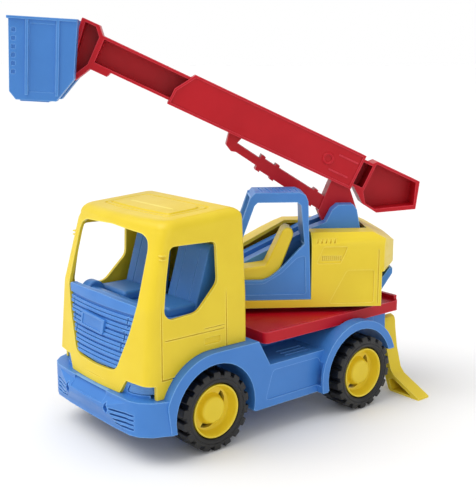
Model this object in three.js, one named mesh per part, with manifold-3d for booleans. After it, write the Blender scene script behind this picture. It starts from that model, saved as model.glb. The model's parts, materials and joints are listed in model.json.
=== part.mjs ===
// A toy lift truck: cab, chassis, turning upper body, telescopic boom and basket.
// Millimetres, +Z up. The truck's front faces -Y and its left side is +X. Z = 0 is the floor.
// It is drawn with the upper body turned, the boom raised and extended, and both outriggers down.
import * as THREE from 'three';
import { mergeVertices } from 'three/addons/utils/BufferGeometryUtils.js';
import Module from 'manifold-3d';

const wasm = await Module();
wasm.setup();

// ---------------------------------------------------------------- driving dimensions
const GAP = 0.3;                 // clearance between touching pieces
const WALL = 2.6;                // moulded wall
const TYRE_R = 30;
const TYRE_W = 26;
const RIM_R = 20;
const WHEELBASE = 140;
const FRONT_Y = -WHEELBASE / 2;
const REAR_Y = WHEELBASE / 2;
const FRONT_FACE_X = 70.5;       // outer face of a front wheel
const REAR_FACE_X = 81.5;        // outer face of a rear wheel
const AXLE_R = 2.5;
const AXLE_FREE = 0.5;           // radial clearance of the axles in the chassis
const AXLE_SHORT = 8.3;          // how far an axle's end stops inside the wheel's outer face

const SIDE_X = 70;               // chassis half width
const SKIRT_Z = [21, 54];
const BUMPER_Z = [22, 47];
const FENDER_R = 44;             // outer radius of the front fender
const WELL_R = 35.5;             // wheel opening
const FLARE_X = 77;              // outer face of the rear arches
const FLARE_R = 42;
const SPINE_X = 34;

const DECK = { x: 66, y0: -21.5, y1: 127, z0: 69, z1: 77.5 };
const SLEW_Y = 54;
const RING_Z = 81.2;             // top of the deck's turning ring
const RING_R = 33;
const HUB_R = 12;

const CAB = { x: 63, rear: -36, base: 74.3, roofFront: 168.5, roofRear: 172.5 };
const SILL_Z = 110;              // the cab's front changes slope here
const LEAN = { low: 0.085, high: 0.266 };        // how far the front leans back per unit of height
const NOTCH = { x0: 32.5, x1: 39, z: 57.5, y: -116.5 };       // headlamp corner

const BODY_X = 45;               // half width of the upper body
const BODY_Z = [82, 141];
const BODY_Y = [-58, 74.5];
const LEDGE_Z = 88.3;            // top of the ledge that the operator's cage stands on
const CAGE_X = [13, 45];
const FIN_X = [8, 20];
const PIVOT = { y: 50, z: 147 }; // boom hinge, in the upper body's frame

const SLEW_DEG = -35;
const LIFT_DEG = 25.2;
const BASKET_DEG = 21.9;         // basket against boom
const BOOM_X = 12.5;
const OUTER = { s0: 7, s1: 170, n0: 23.7, n1: 53.4 };
const INNER = { x: 9.8, n0: 26.6, n1: 50.2, wall: 2.2 };
const FOOT_X = 7.5;
const STRUT_X = 5.5;
const BASKET_PIN = { s: 257, n: 25.7 };

const LEG_PIN = { x: 55, z: 58 };
const LEG_Y = [117, 130];

const YELLOW = 0xf0d732;
const BLUE = 0x4f8bcb;
const RED = 0xb01020;
const BLACK = 0x1b1c1d;
const STEEL = 0x9a9da0;

// ---------------------------------------------------------------- solids and placing
function toSolid(geometry) {
  const bare = geometry.clone();
  bare.deleteAttribute('normal');
  bare.deleteAttribute('uv');
  const merged = mergeVertices(bare, 1e-3);
  return new wasm.Manifold(new wasm.Mesh({
    numProp: 3,
    vertProperties: new Float32Array(merged.attributes.position.array),
    triVerts: new Uint32Array(merged.index.array),
  }));
}

function toGeometry(solid) {
  const mesh = solid.getMesh();
  const geometry = new THREE.BufferGeometry();
  geometry.setAttribute('position', new THREE.BufferAttribute(new Float32Array(mesh.vertProperties), 3));
  geometry.setIndex(new THREE.BufferAttribute(new Uint32Array(mesh.triVerts), 1));
  geometry.computeVertexNormals();
  return geometry;
}

const join = (...solids) => solids.reduce((sum, solid) => sum.add(solid));
const cut = (solid, ...tools) => tools.reduce((rest, tool) => rest.subtract(tool), solid);
const common = (...solids) => solids.reduce((rest, solid) => rest.intersect(solid));

function box(x0, x1, y0, y1, z0, z1) {
  const geometry = new THREE.BoxGeometry(x1 - x0, y1 - y0, z1 - z0);
  return toSolid(geometry.translate((x0 + x1) / 2, (y0 + y1) / 2, (z0 + z1) / 2));
}

function outline(points) {
  if (points instanceof THREE.Shape) return points;
  return new THREE.Shape(points.map(([a, b]) => new THREE.Vector2(a, b)));
}

function slab(points, from, to, curveSegments = 6) {
  const options = { depth: to - from, bevelEnabled: false, curveSegments };
  return new THREE.ExtrudeGeometry(outline(points), options).translate(0, 0, from);
}

// An outline in plan (x, y), pushed up from z = from to z = to.
const upZ = (points, from, to, segments) => toSolid(slab(points, from, to, segments));

// A side outline (y, z), pushed along X.
function alongX(points, from, to, segments) {
  const geometry = slab(points, from, to, segments);
  const turn = new THREE.Matrix4().makeBasis(
    new THREE.Vector3(0, 1, 0), new THREE.Vector3(0, 0, 1), new THREE.Vector3(1, 0, 0));
  return toSolid(geometry.applyMatrix4(turn));
}

// A front outline (x, z), pushed along Y.
function alongY(points, from, to, segments) {
  const geometry = slab(points, from, to, segments);
  const turn = new THREE.Matrix4().makeBasis(
    new THREE.Vector3(1, 0, 0), new THREE.Vector3(0, 0, 1), new THREE.Vector3(0, -1, 0));
  return toSolid(geometry.applyMatrix4(turn).translate(0, from + to, 0));
}

function rodX(radius, x0, x1, y, z, sides = 24) {
  const geometry = new THREE.CylinderGeometry(radius, radius, x1 - x0, sides);
  return toSolid(geometry.rotateZ(Math.PI / 2).translate((x0 + x1) / 2, y, z));
}

function rodY(radius, y0, y1, x, z, sides = 20) {
  const geometry = new THREE.CylinderGeometry(radius, radius, y1 - y0, sides);
  return toSolid(geometry.translate(x, (y0 + y1) / 2, z));
}

function rodZ(radius, z0, z1, x, y, sides = 32) {
  const geometry = new THREE.CylinderGeometry(radius, radius, z1 - z0, sides);
  return toSolid(geometry.rotateX(Math.PI / 2).translate(x, y, (z0 + z1) / 2));
}

// A closed profile of (radius, x) points turned about the X axis, whichever way round it is listed.
function turned(profile, sides) {
  const points = profile.map(([radius, x]) => new THREE.Vector2(radius, x));
  if (THREE.ShapeUtils.area(points) < 0) points.reverse();
  const geometry = new THREE.LatheGeometry(points, sides);
  return toSolid(geometry.rotateZ(-Math.PI / 2));
}

function roundedRect(x0, x1, y0, y1, radius) {
  const shape = new THREE.Shape();
  shape.moveTo(x0 + radius, y0);
  shape.lineTo(x1 - radius, y0);
  shape.absarc(x1 - radius, y0 + radius, radius, -Math.PI / 2, 0);
  shape.lineTo(x1, y1 - radius);
  shape.absarc(x1 - radius, y1 - radius, radius, 0, Math.PI / 2);
  shape.lineTo(x0 + radius, y1);
  shape.absarc(x0 + radius, y1 - radius, radius, Math.PI / 2, Math.PI);
  shape.lineTo(x0, y0 + radius);
  shape.absarc(x0 + radius, y0 + radius, radius, Math.PI, Math.PI * 1.5);
  return shape;
}

function mirrored(points) {
  return [...points, ...points.filter(([x]) => x > 0).map(([x, y]) => [-x, y]).reverse()];
}

// The range from a to b on the left (side 1), or its mirror on the right (side -1).
const span = (side, a, b) => (side > 0 ? [a, b] : [-b, -a]);

const both = (make) => join(make(1), make(-1));

function piece(name, solid, colour, metalness = 0) {
  const roughness = metalness > 0 ? 0.35 : 0.45;
  const material = new THREE.MeshStandardMaterial({ color: colour, roughness, metalness });
  const mesh = new THREE.Mesh(toGeometry(solid), material);
  mesh.name = name;
  return mesh;
}

const truck = new THREE.Group();

// ---------------------------------------------------------------- chassis
// Plan outline of the bumper's half, from the middle to the wheel opening, set in by a wall.
function bumperPlan(inset) {
  const nose = [[0, -132.4], [30, -132.2], [50, -131], [57.5, -128], [64, -121.5], [SIDE_X, -108]];
  const half = nose.map(([x, y]) => [Math.max(0, x - inset), y + inset]);
  return mirrored([...half, [SIDE_X - inset, FRONT_Y - WELL_R + 7]]);
}

// The middle of the bumper swells forward at half its height.
function bumperSwell() {
  const side = [[-110, 45], [-131, 45], [-137, 38], [-137, 35], [-131, 24], [-110, 24]];
  const plan = mirrored([[0, -137], [28, -136.4], [54, -129], [54, -111], [0, -111]]);
  return common(alongX(side, -54, 54), upZ(plan, ...BUMPER_Z));
}

function fenderSide(radius, drop) {
  const shape = new THREE.Shape();
  shape.moveTo(FRONT_Y - WELL_R - 4, BUMPER_Z[0]);
  shape.lineTo(FRONT_Y - radius + 2, BUMPER_Z[1] - 6);
  shape.absarc(FRONT_Y, TYRE_R, radius, Math.PI * 0.9, Math.PI / 2, true);
  shape.lineTo(-31, TYRE_R + radius);
  shape.lineTo(-20, SKIRT_Z[1] - drop);
  shape.lineTo(-20, SKIRT_Z[0]);
  return shape;
}

// The block that fills a corner cut from the cab, or with clear = 0 the cut itself, on one side.
function lampBlock(side, clear) {
  const front = [[NOTCH.x0 + clear, 30], [NOTCH.x0 + clear, BUMPER_Z[1]],
    [NOTCH.x1 + clear, NOTCH.z - clear], [SIDE_X + 1, NOTCH.z - clear], [SIDE_X + 1, 30]];
  return alongY(front.map(([x, z]) => [side * x, z]), -150, NOTCH.y - clear);
}

function headlamp(side) {
  return common(upZ(bumperPlan(6.5), BUMPER_Z[1] - 6, NOTCH.z - GAP), lampBlock(side, GAP));
}

function rearFlare() {
  const ring = cut(
    rodX(FLARE_R, -FLARE_X, FLARE_X, REAR_Y, TYRE_R, 36),
    box(-FLARE_X - 1, FLARE_X + 1, 0, 150, -20, SKIRT_Z[0]));
  const trim = box(-FLARE_X - 1, FLARE_X + 1, REAR_Y + WELL_R - 3, 150, -20, 42);
  const underDeck = box(-DECK.x - 1, DECK.x + 1, 0, 150, DECK.z0 - GAP, 90);
  return cut(ring, trim, underDeck);
}

function chassis() {
  const fender = cut(
    alongX(fenderSide(FENDER_R, 0), -SIDE_X, SIDE_X, 16),
    box(-50, 50, -150, -40, 62, 100),
    box(-50, 50, -40, 0, 72, 100));
  const outside = join(
    upZ(bumperPlan(0), ...BUMPER_Z),
    bumperSwell(),
    both(headlamp),
    fender,
    box(-SIDE_X, SIDE_X, -38, 42, ...SKIRT_Z),
    box(-SPINE_X, SPINE_X, -30, 132, 40, DECK.z0 - GAP),
    rearFlare(),
    box(-64, 64, 78, 98, 60, DECK.z0 - GAP),
    box(-60, 60, 98, LEG_Y[0] - GAP, 42, DECK.z0 - GAP));
  const hollows = [
    box(-SPINE_X + WALL, SPINE_X - WALL, -128, 129, -1, DECK.z0 - GAP - WALL),
    upZ(bumperPlan(WALL), -1, BUMPER_Z[1] - WALL),
    box(-SIDE_X + WALL, SIDE_X - WALL, -32, 33, -1, SKIRT_Z[1] - WALL),
    box(-50, 50, 108, LEG_Y[0] - GAP - WALL, -1, DECK.z0 - GAP - WALL),
  ];
  const wells = [FRONT_Y, REAR_Y].flatMap((y) => [1, -1].map((side) => {
    const ends = span(side, SPINE_X, FLARE_X + 5);
    return join(
      rodX(WELL_R, ...ends, y, TYRE_R, 36),
      box(ends[0], ends[1], y - WELL_R, y + WELL_R, -5, TYRE_R - 8));
  }));
  const bearers = [FRONT_Y, REAR_Y].map((y) => both((side) => box(
    ...span(side, SPINE_X - 5, SPINE_X), y - 9, y + 9, TYRE_R - 9, 60)));
  const walls = both((side) => box(
    ...span(side, SPINE_X - WALL, SPINE_X), FRONT_Y - 38, FRONT_Y + 38, 52, 64));
  const frontFloor = box(-SPINE_X, SPINE_X, -120, -30, 60, 62.5);
  const bores = [FRONT_Y, REAR_Y].map((y) => rodX(AXLE_R + AXLE_FREE, -50, 50, y, TYRE_R));
  const pinBores = [1, -1].map((side) => rodY(2.3, 100, LEG_Y[0] + 1, side * LEG_PIN.x, LEG_PIN.z));
  const body = join(cut(outside, ...hollows, ...wells), ...bearers, walls, frontFloor);
  return cut(body, ...bores, ...pinBores, rodZ(21, 50, 80, 0, SLEW_Y));
}

truck.add(piece('chassis', chassis(), BLUE));

// ---------------------------------------------------------------- wheels
const TREAD_BLOCKS = 18;

// One ring of tread: raised blocks with open grooves between them.
function treadRing(x0, x1, phase) {
  const shape = new THREE.Shape();
  const pitch = (Math.PI * 2) / TREAD_BLOCKS;
  const steps = [[0, TYRE_R], [0.66, TYRE_R], [0.7, TYRE_R - 2.6], [0.96, TYRE_R - 2.6]];
  const points = [];
  for (let block = 0; block < TREAD_BLOCKS; block += 1) {
    for (const [share, radius] of steps) {
      const angle = (block + share + phase) * pitch;
      points.push(new THREE.Vector2(Math.cos(angle) * radius, Math.sin(angle) * radius));
    }
  }
  shape.setFromPoints(points);
  const hole = new THREE.Path();
  hole.absarc(0, 0, TYRE_R - 6, 0, Math.PI * 2, true);
  shape.holes.push(hole);
  return toSolid(slab(shape, x0, x1).rotateY(Math.PI / 2));
}

function tyre() {
  const half = TYRE_W / 2;
  const carcass = turned([
    [RIM_R + GAP, -half + 2], [RIM_R + 3, -half], [TYRE_R - 4, -half], [TYRE_R - 2.6, -half + 1.5],
    [TYRE_R - 2.6, half - 1.5], [TYRE_R - 4, half], [RIM_R + 3, half], [RIM_R + GAP, half - 2],
    [RIM_R + GAP, -half + 2],
  ], 28);
  const left = treadRing(1, half - 0.6, 0);
  const right = treadRing(-half + 0.6, -1, 0.5);
  return join(carcass, left, right);
}

// A window that starts wide beside the hub disc and tapers as it follows the disc round.
function teardrop(start, sweep) {
  const steps = [0, 1, 2, 3, 4, 5, 6];
  const at = (radius, share) => {
    const angle = start + sweep * share;
    return [Math.cos(angle) * radius, Math.sin(angle) * radius];
  };
  const inner = steps.map((k) => at(11.6, k / 6));
  const outer = steps.map((k) => at(12.4 + 3.6 * Math.sqrt(1 - k / 6), k / 6)).reverse();
  return [...inner, ...outer];
}

function rim() {
  const half = TYRE_W / 2;
  const dish = turned([
    [0, half - 4], [10, half - 4], [11.5, half - 9], [17, half - 9.5], [18.4, half - 1], [RIM_R, half - 1],
    [RIM_R, -half + 2], [18, -half + 2], [17, half - 12], [AXLE_R + 5, half - 12], [AXLE_R + 4, -half + 3],
    [0, -half + 3], [0, half - 4],
  ], 28);
  const windows = [teardrop(Math.PI * 0.28, -Math.PI * 0.24), teardrop(Math.PI * 1.3, Math.PI * 0.26)]
    .map((window) => alongX(window, -half, half));
  return cut(dish, ...windows, rodX(AXLE_R + 0.05, -half, half - 8, 0, 0));
}

const tyreSolid = tyre();
const rimSolid = rim();

for (const [end, y, face] of [['front', FRONT_Y, FRONT_FACE_X], ['rear', REAR_Y, REAR_FACE_X]]) {
  const wheelset = new THREE.Group();
  wheelset.position.set(0, y, TYRE_R);
  const reach = face - AXLE_SHORT;
  wheelset.add(piece(`${end}_axle`, rodX(AXLE_R - GAP, -reach, reach, 0, 0, 20), STEEL, 0.9));
  for (const [hand, side] of [['left', 1], ['right', -1]]) {
    const wheel = new THREE.Group();
    wheel.position.x = side * (face - TYRE_W / 2);
    wheel.rotation.z = side > 0 ? 0 : Math.PI;
    wheel.add(piece(`${end}_${hand}_rim`, rimSolid, YELLOW));
    wheel.add(piece(`${end}_${hand}_tyre`, tyreSolid, BLACK));
    wheelset.add(wheel);
  }
  truck.add(wheelset);
}

// ---------------------------------------------------------------- driver's cab
function cabPlan(inset) {
  const nose = [[0, -124.2], [25, -123.4], [47, -120.6], [58.6, -116.8], [CAB.x - 0.8, -110], [CAB.x, -101]];
  const half = nose.map(([x, y]) => [Math.max(0, x - inset), y + inset]);
  return mirrored([...half, [CAB.x - inset, 0]]);
}

// The cab's front leans back, more so above the sill, so the plan outline is sheared as it rises.
function leaning(points) {
  const part = (z0, z1, lean) => {
    const shear = new THREE.Matrix4().makeShear(0, 0, 0, 0, 0, lean);
    return toSolid(slab(points, z0, z1).applyMatrix4(shear).translate(0, -SILL_Z * lean, 0));
  };
  return join(part(30, SILL_Z, LEAN.low), part(SILL_Z, 190, LEAN.high));
}

function cabSide(inset) {
  const shape = new THREE.Shape();
  const low = inset > 0 ? 30 : 46;
  shape.moveTo(-150, low);
  shape.lineTo(-150, CAB.roofFront - 6 - inset);
  shape.lineTo(-110, CAB.roofFront - inset - 1);
  shape.lineTo(-104, CAB.roofFront - inset);
  shape.lineTo(CAB.rear - 7, CAB.roofRear - inset);
  shape.lineTo(CAB.rear - 2 - inset, CAB.roofRear - 2.5 - inset);
  shape.lineTo(CAB.rear - inset, CAB.roofRear - 8);
  shape.lineTo(CAB.rear - inset, inset > 0 ? low : CAB.base);
  if (inset > 0) return shape;
  shape.lineTo(FRONT_Y, CAB.base);
  shape.absarc(FRONT_Y, TYRE_R, FENDER_R + GAP, Math.PI / 2, Math.PI * 0.88, false);
  shape.lineTo(-116, 47.5);
  return shape;
}

function cabFront(inset) {
  const half = [[CAB.x, 40], [CAB.x - 1, SILL_Z], [58.5, 160], [56.5, 165.5], [52.5, 168.6], [46, 170.5],
    [0, 173]];
  return mirrored(half.map(([x, z]) => [Math.max(0, x - inset), z > 150 ? z - inset : z]));
}

const CAB_WINDOW = [[-100.5, 152], [-62, 151], [-62, 122], [-81, 103.5], [-104, 102], [-109, 107],
  [-106, 128]];
const CAB_FACE = mirrored([[0, 60], [22, 61], [28, 63.5], [40, 90], [46.5, 111], [46, 150], [44, 156],
  [38, 159], [0, 161]]);

function cabShell() {
  const layer = (inset) => common(
    leaning(cabPlan(inset)),
    alongX(cabSide(inset), -70, 70, 10),
    alongY(cabFront(inset), -160, 0));
  const shell = cut(layer(0), layer(WALL));
  const windows = alongX(CAB_WINDOW, -70, 70);
  const notches = both((side) => lampBlock(side, 0));
  const face = alongY(CAB_FACE, -160, -100);
  const lip = box(-70, 70, -160, -30, 30, BUMPER_Z[1] + GAP);
  return cut(shell, windows, notches, face, lip);
}

truck.add(piece('cab_shell', cabShell(), YELLOW));

function grille() {
  const face = mirrored([[0, 60.5], [21.6, 61.5], [27.5, 63.9], [39.3, 90.2], [45.7, 111], [0, 112.5]]);
  return common(
    cut(leaning(cabPlan(WALL / 2)), leaning(cabPlan(WALL / 2 + 3))),
    alongY(face, -160, -100));
}

truck.add(piece('grille', grille(), BLUE));

function seatSide(front, back) {
  return [[front, 98], [front, 106], [back - 6, 104], [back + 8, 146], [back + 16, 145], [back + 9, 98]];
}

function cabInterior() {
  const tub = cut(
    box(-57.5, 57.5, -104, CAB.rear - WALL - 1, 78, 101.5),
    box(-55, 55, -101, CAB.rear - WALL - 4, 81, 110),
    box(-36, 36, -100, -50, 70, 79));
  const dash = box(-44, 44, -113, -101, 96, 108);
  const bench = box(-55.2, 55.2, -96, -46, 92, 98.5);
  const seats = both((side) => alongX(seatSide(-92, -66), ...span(side, 10, 47)));
  const posts = both((side) => box(...span(side, 50, 56), -60, -50, CAB.base + GAP, 80));
  return join(tub, dash, bench, seats, posts);
}

truck.add(piece('cab_interior', cabInterior(), BLUE));

// ---------------------------------------------------------------- deck
function deck() {
  const plate = upZ(roundedRect(-DECK.x, DECK.x, DECK.y0, DECK.y1, 4), DECK.z0, DECK.z1);
  const under = upZ(roundedRect(-DECK.x + WALL, DECK.x - WALL, DECK.y0 + WALL, DECK.y1 - WALL, 2),
    DECK.z0 - 1, DECK.z1 - WALL);
  const boss = rodZ(20, DECK.z0, DECK.z1, 0, SLEW_Y);
  const ribs = join(...[0, 104].map((y) => box(-64, 64, y, y + 2, DECK.z0, DECK.z1 - 1)));
  const ring = cut(
    rodZ(RING_R, DECK.z1 - 1, RING_Z, 0, SLEW_Y, 48), rodZ(24, DECK.z1 - 2, 90, 0, SLEW_Y, 48));
  const lip = box(-63, 63, DECK.y1 - 3, DECK.y1, DECK.z1 - 1, RING_Z);
  return cut(join(cut(plate, under), boss, ribs, ring, lip), rodZ(HUB_R + GAP, 60, 90, 0, SLEW_Y));
}

truck.add(piece('deck', deck(), RED));

// ---------------------------------------------------------------- upper body
const upper = new THREE.Group();
upper.position.set(0, SLEW_Y, 0);
upper.rotation.z = THREE.MathUtils.degToRad(SLEW_DEG);
truck.add(upper);

const CAGE_SIDE = [[-59, LEDGE_Z + GAP], [-31, 170], [-27, 174.2], [8, 174.2], [12.5, 172], [14.5, 167],
  [17.6, LEDGE_Z + GAP]];

function doorOpening() {
  const shape = new THREE.Shape();
  shape.moveTo(-49, 104.5);
  shape.lineTo(-27.5, 164);
  shape.lineTo(-25, 166.5);
  shape.lineTo(6, 166.5);
  shape.lineTo(9, 164);
  shape.lineTo(12, 133);
  shape.bezierCurveTo(4, 127, -10, 106, -21, 104.5);
  return shape;
}

function finSide() {
  return [[-52, LEDGE_Z + GAP], [-52, 104], [-30, 116], [20, 141], [33, 146], [38, 156], [43, 160],
    [55, 160], [58, 156], [61.5, 138], [66, 120], [66, LEDGE_Z + GAP]];
}

function upperFrame() {
  const hub = rodZ(HUB_R, DECK.z0 - 2, LEDGE_Z + 2, 0, 0, 32);
  const turntable = rodZ(RING_R, RING_Z + GAP, LEDGE_Z + 2, 0, 0, 48);
  const floor = join(
    box(-FIN_X[1], FIN_X[1], -54, 60, LEDGE_Z + GAP, LEDGE_Z + GAP + 2.5),
    box(CAGE_X[0], BODY_X - WALL - GAP, -54, 17.6, LEDGE_Z + GAP, LEDGE_Z + GAP + 2.5));
  const fins = both((side) => cut(
    alongX(finSide(), ...span(side, ...FIN_X)),
    alongX([[30, 92], [41, 157], [56, 157], [62, 92]], ...span(side, FIN_X[0] + 2.5, FIN_X[1] - 2.5))));
  const ramp = alongX([[-52, 100], [-30, 112], [-8, 120], [16, 124], [16, 121], [-8, 117], [-29, 109],
    [-52, 97]], -FIN_X[0] - 1, FIN_X[0] + 1);
  const crosswall = box(-FIN_X[0] - 1, FIN_X[0] + 1, 63, 66, LEDGE_Z + GAP, 120);
  const cage = cut(
    alongX(CAGE_SIDE, ...CAGE_X),
    alongX([[-70, LEDGE_Z + 3], [-70, 166], [-26, 170.6], [7, 170.6], [10.2, 168], [13, LEDGE_Z + 3]],
      CAGE_X[0] - 1, CAGE_X[1] - 3.5),
    alongX(doorOpening(), CAGE_X[0] - 1, CAGE_X[1] + 1));
  const tail = alongX([[58, LEDGE_Z + GAP], [58, 91.2], [71, 91.2], [84, 109.4], [86.5, 109.4], [86.5, 105],
    [76.5, LEDGE_Z + GAP]], -29.5, 29.5);
  const farPost = alongX([[-59, LEDGE_Z + GAP], [-30.3, 172], [-24, 172], [-53, LEDGE_Z + GAP]],
    CAGE_X[0], CAGE_X[0] + 5);
  const screwBore = rodZ(1.6, DECK.z0 - 3, DECK.z0 + 9, 0, 0, 12);
  const pinBore = rodX(2.8, -FIN_X[1] + 2, FIN_X[1] - 2, PIVOT.y, PIVOT.z);
  const vents = [1, -1].map((side) => box(side * 13 - 1.5, side * 13 + 1.5, 40, 52, 80, 95));
  const solid = join(hub, turntable, floor, fins, ramp, crosswall, cage, farPost, tail);
  return cut(solid, screwBore, pinBore, ...vents);
}

upper.add(piece('upper_frame', upperFrame(), BLUE));

function coverSide(inset) {
  const [front, rear] = [BODY_Y[0] + inset, BODY_Y[1] - inset];
  const [top, flare] = [BODY_Z[1] - inset, 89 - inset];
  return [[front, 60], [front, 106.5 - inset], [4, top], [68, top], [flare, 131 - inset],
    [flare, 113 + inset], [rear, 110], [rear, 60]];
}

function coverPlan(inset) {
  const x = BODY_X - inset;
  return [[x, BODY_Y[0]], [x, 76], [20, 89 - inset], [-20, 89 - inset], [-x, 76], [-x, BODY_Y[0]]];
}

function coverFront(inset) {
  const x = BODY_X - inset;
  return mirrored([[x, 60], [x, 130.5], [x - 3, 137], [x - 8, BODY_Z[1] - inset]]);
}

function upperCover() {
  const layer = (inset) => common(
    alongX(coverSide(inset), -50, 50), upZ(coverPlan(inset), 50, 150), alongY(coverFront(inset), -80, 100));
  const shell = cut(layer(0), layer(WALL), box(-60, 60, -80, 120, 40, BODY_Z[0]));
  const slot = box(-FIN_X[1] - GAP, FIN_X[1] + GAP, -70, 66 + GAP, LEDGE_Z, 170);
  const tailSpace = box(-30, 30, 70, 80, LEDGE_Z, 109.9);
  const cageSpace = box(CAGE_X[0] - 1, BODY_X + 5, -70, 17.6 + GAP, LEDGE_Z, 170);
  const rearWall = box(FIN_X[1] + GAP, BODY_X - WALL + 0.5, 18.2, 20.5, LEDGE_Z + 3, BODY_Z[1] - 4);
  return join(cut(shell, slot, cageSpace, tailSpace), common(rearWall, layer(0)));
}

upper.add(piece('upper_cover', upperCover(), YELLOW));

function operatorSeat() {
  const side = [[-46, 104], [-46, 112], [-18, 115.5], [-4.5, 144], [-1, 146], [3, 144.5], [4, 140], [-8, 108],
    [-12, 104]];
  const base = box(24, 34, -40, -14, LEDGE_Z + 2 * GAP + 2.5, 105);
  return join(alongX(side, CAGE_X[0] + 7, BODY_X - 4.5), base);
}

upper.add(piece('operator_seat', operatorSeat(), YELLOW));

// The washer and screw under the deck hold the turning hub down.
const WASHER_Z = [DECK.z0 - 5.2, DECK.z0 - 2 - GAP];
const washer = cut(rodZ(18, ...WASHER_Z, 0, 0), rodZ(2, 50, 80, 0, 0, 12));
const screwHead = rodZ(3.4, WASHER_Z[0] - 2.8, WASHER_Z[0] - GAP, 0, 0, 16);
const screw = join(screwHead, rodZ(1.3, WASHER_Z[0] - 1.8, DECK.z0 + 7, 0, 0, 12));
upper.add(piece('slew_washer', washer, STEEL, 0.9));
upper.add(piece('slew_screw', screw, STEEL, 0.9));

// ---------------------------------------------------------------- boom
// Inside the boom's frame the hinge is the origin, the tip points along -Y and Z is the boom's depth.
const boom = new THREE.Group();
boom.position.set(0, PIVOT.y, PIVOT.z);
boom.rotation.x = THREE.MathUtils.degToRad(-LIFT_DEG);
upper.add(boom);

const toBoom = (points) => points.map(([s, n]) => [-s, n]);
const BOOM_SIDE = toBoom([[OUTER.s0, OUTER.n0], [OUTER.s0, OUTER.n1], [158.8, OUTER.n1], [169.4, 37],
  [OUTER.s1, OUTER.n0]]);
const FOOT_SIDE = toBoom([[23.4, 25], [22, -4], [15, -10], [4, -10], [-6, -7], [-9, 2], [-8, 9], [7, 24.5]]);
const BOSS = { s: 34.6, n: 38.5 };      // ring boss on the boom's side

function strutSide() {
  const top = [[113.7, 13.5], [115.8, 24.5], [104, 24.5], [106, 18.5], [84, 15.2], [84, 18.6], [80, 18],
    [80, 16.4], [70, 15], [70, 17], [66.5, 16.4], [66.5, 14.6], [33, 10.2], [32, 12], [29, 11.6], [29, 10],
    [20, 9]];
  const low = [[20, -2.6], [29, -1.6], [29, -3.2], [32, -2.8], [33, -1], [66.5, 4], [66.5, 2.6], [70, 3.2],
    [70, 4.6], [80, 6], [80, 4.6], [84, 5.2], [84, 8.6], [104, 11.6], [108, 10.5]];
  return toBoom([...top, ...low]);
}

function outerHalf(side) {
  const seam = GAP / 2;
  const panel = toBoom([[OUTER.s0 + 2, OUTER.n0 + 2], [OUTER.s0 + 2, OUTER.n1 - 2], [157.6, OUTER.n1 - 2],
    [167.4, 36.2], [OUTER.s1 - 2, OUTER.n0 + 2]]);
  const channel = box(
    ...span(side, -1, INNER.x + 0.6), -OUTER.s1 - 1, 60, INNER.n0 - 0.6, INNER.n1 + 0.6);
  const body = cut(
    alongX(BOOM_SIDE, ...span(side, seam, BOOM_X)),
    channel,
    alongX(panel, ...span(side, BOOM_X - 1, BOOM_X + 1)));
  const foot = cut(alongX(FOOT_SIDE, ...span(side, seam, FOOT_X)), rodX(2.9, -20, 20, 0, 0));
  const strut = alongX(strutSide(), ...span(side, seam, STRUT_X));
  const ring = cut(
    rodX(4.7, ...span(side, INNER.x + 1, BOOM_X - 0.2), -BOSS.s, BOSS.n),
    rodX(3, ...span(side, INNER.x + 1.2, BOOM_X + 1), -BOSS.s, BOSS.n, 16));
  return join(body, cut(join(foot, strut), channel), ring);
}

boom.add(piece('boom_outer_left', outerHalf(1), RED));
boom.add(piece('boom_outer_right', outerHalf(-1), RED));
boom.add(piece('boom_pin', rodX(2.5, -FIN_X[1] + 2.4, FIN_X[1] - 2.4, 0, 0), STEEL, 0.9));

const telescope = new THREE.Group();
boom.add(telescope);

const HEAD_TOP = [[236, INNER.n1], [241.5, 56.3], [255.4, 56.1], [258.5, 51]];
const HEAD_LOW = [[250, 14], [242, 9.6], [235, 22.6], [221, 22.6], [219.5, INNER.n0]];
const HANDLE = [[4.5, INNER.n0], [-8, 17], [-22, 15.2], [-50.4, 31.4], [-43.2, 53.2], [-4, 53.2],
  [-1, INNER.n1]];

// Points moved towards their own middle by a distance, along each of the two directions.
function inwards(points, distance) {
  const middle = [0, 1].map((k) => points.reduce((sum, point) => sum + point[k], 0) / points.length);
  return points.map((point) => point.map((v, k) => v - Math.sign(v - middle[k]) * distance));
}

function boomInner() {
  const { x, wall, n0, n1 } = INNER;
  const tray = [-x + wall, x + 1];
  const headSpace = [[236, 50], [241.5, 56.3], [254.6, 56.1], [250, 14], [243, 10], [236, 23]];
  const handleSpace = [[-2, 53.2], [-2, 24], [-8, 16], [-21.5, 15.2], [-49.6, 31.6], [-42.8, 53.2]];
  const outside = alongX(toBoom([...HEAD_TOP, [262, 33], [262, 20], ...HEAD_LOW, ...HANDLE]), -x, x);
  const middle = box(...tray, -234, 2, n0 + wall, n1 - wall);
  const head = alongX(toBoom(inwards(headSpace, wall)), ...tray);
  const handle = alongX(toBoom(inwards(handleSpace, wall)), ...tray);
  const tongue = cut(
    alongX(toBoom([[250, 33], [262, 33], [264, 26], [262, 19], [250, 19]]), -5, 5),
    rodX(2.4, -20, 20, -BASKET_PIN.s, BASKET_PIN.n));
  const nose = [[254.8, 46], [256.5, 60], [270, 60], [270, 0], [250.6, 0], [250.6, 12]];
  const noseTrim = alongX(toBoom(nose), -20, 20);
  return join(cut(outside, middle, head, handle, noseTrim), tongue);
}

telescope.add(piece('boom_inner', boomInner(), RED));

// ---------------------------------------------------------------- basket
const basket = new THREE.Group();
basket.position.set(0, -BASKET_PIN.s, BASKET_PIN.n);
basket.rotation.x = THREE.MathUtils.degToRad(BASKET_DEG);
telescope.add(basket);

const BASKET = { x: 25, y0: -41, y1: 10.5, z0: -36.5, z1: 25.5, wall: 2, slot: 11.8, slotY: -9 };

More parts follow.
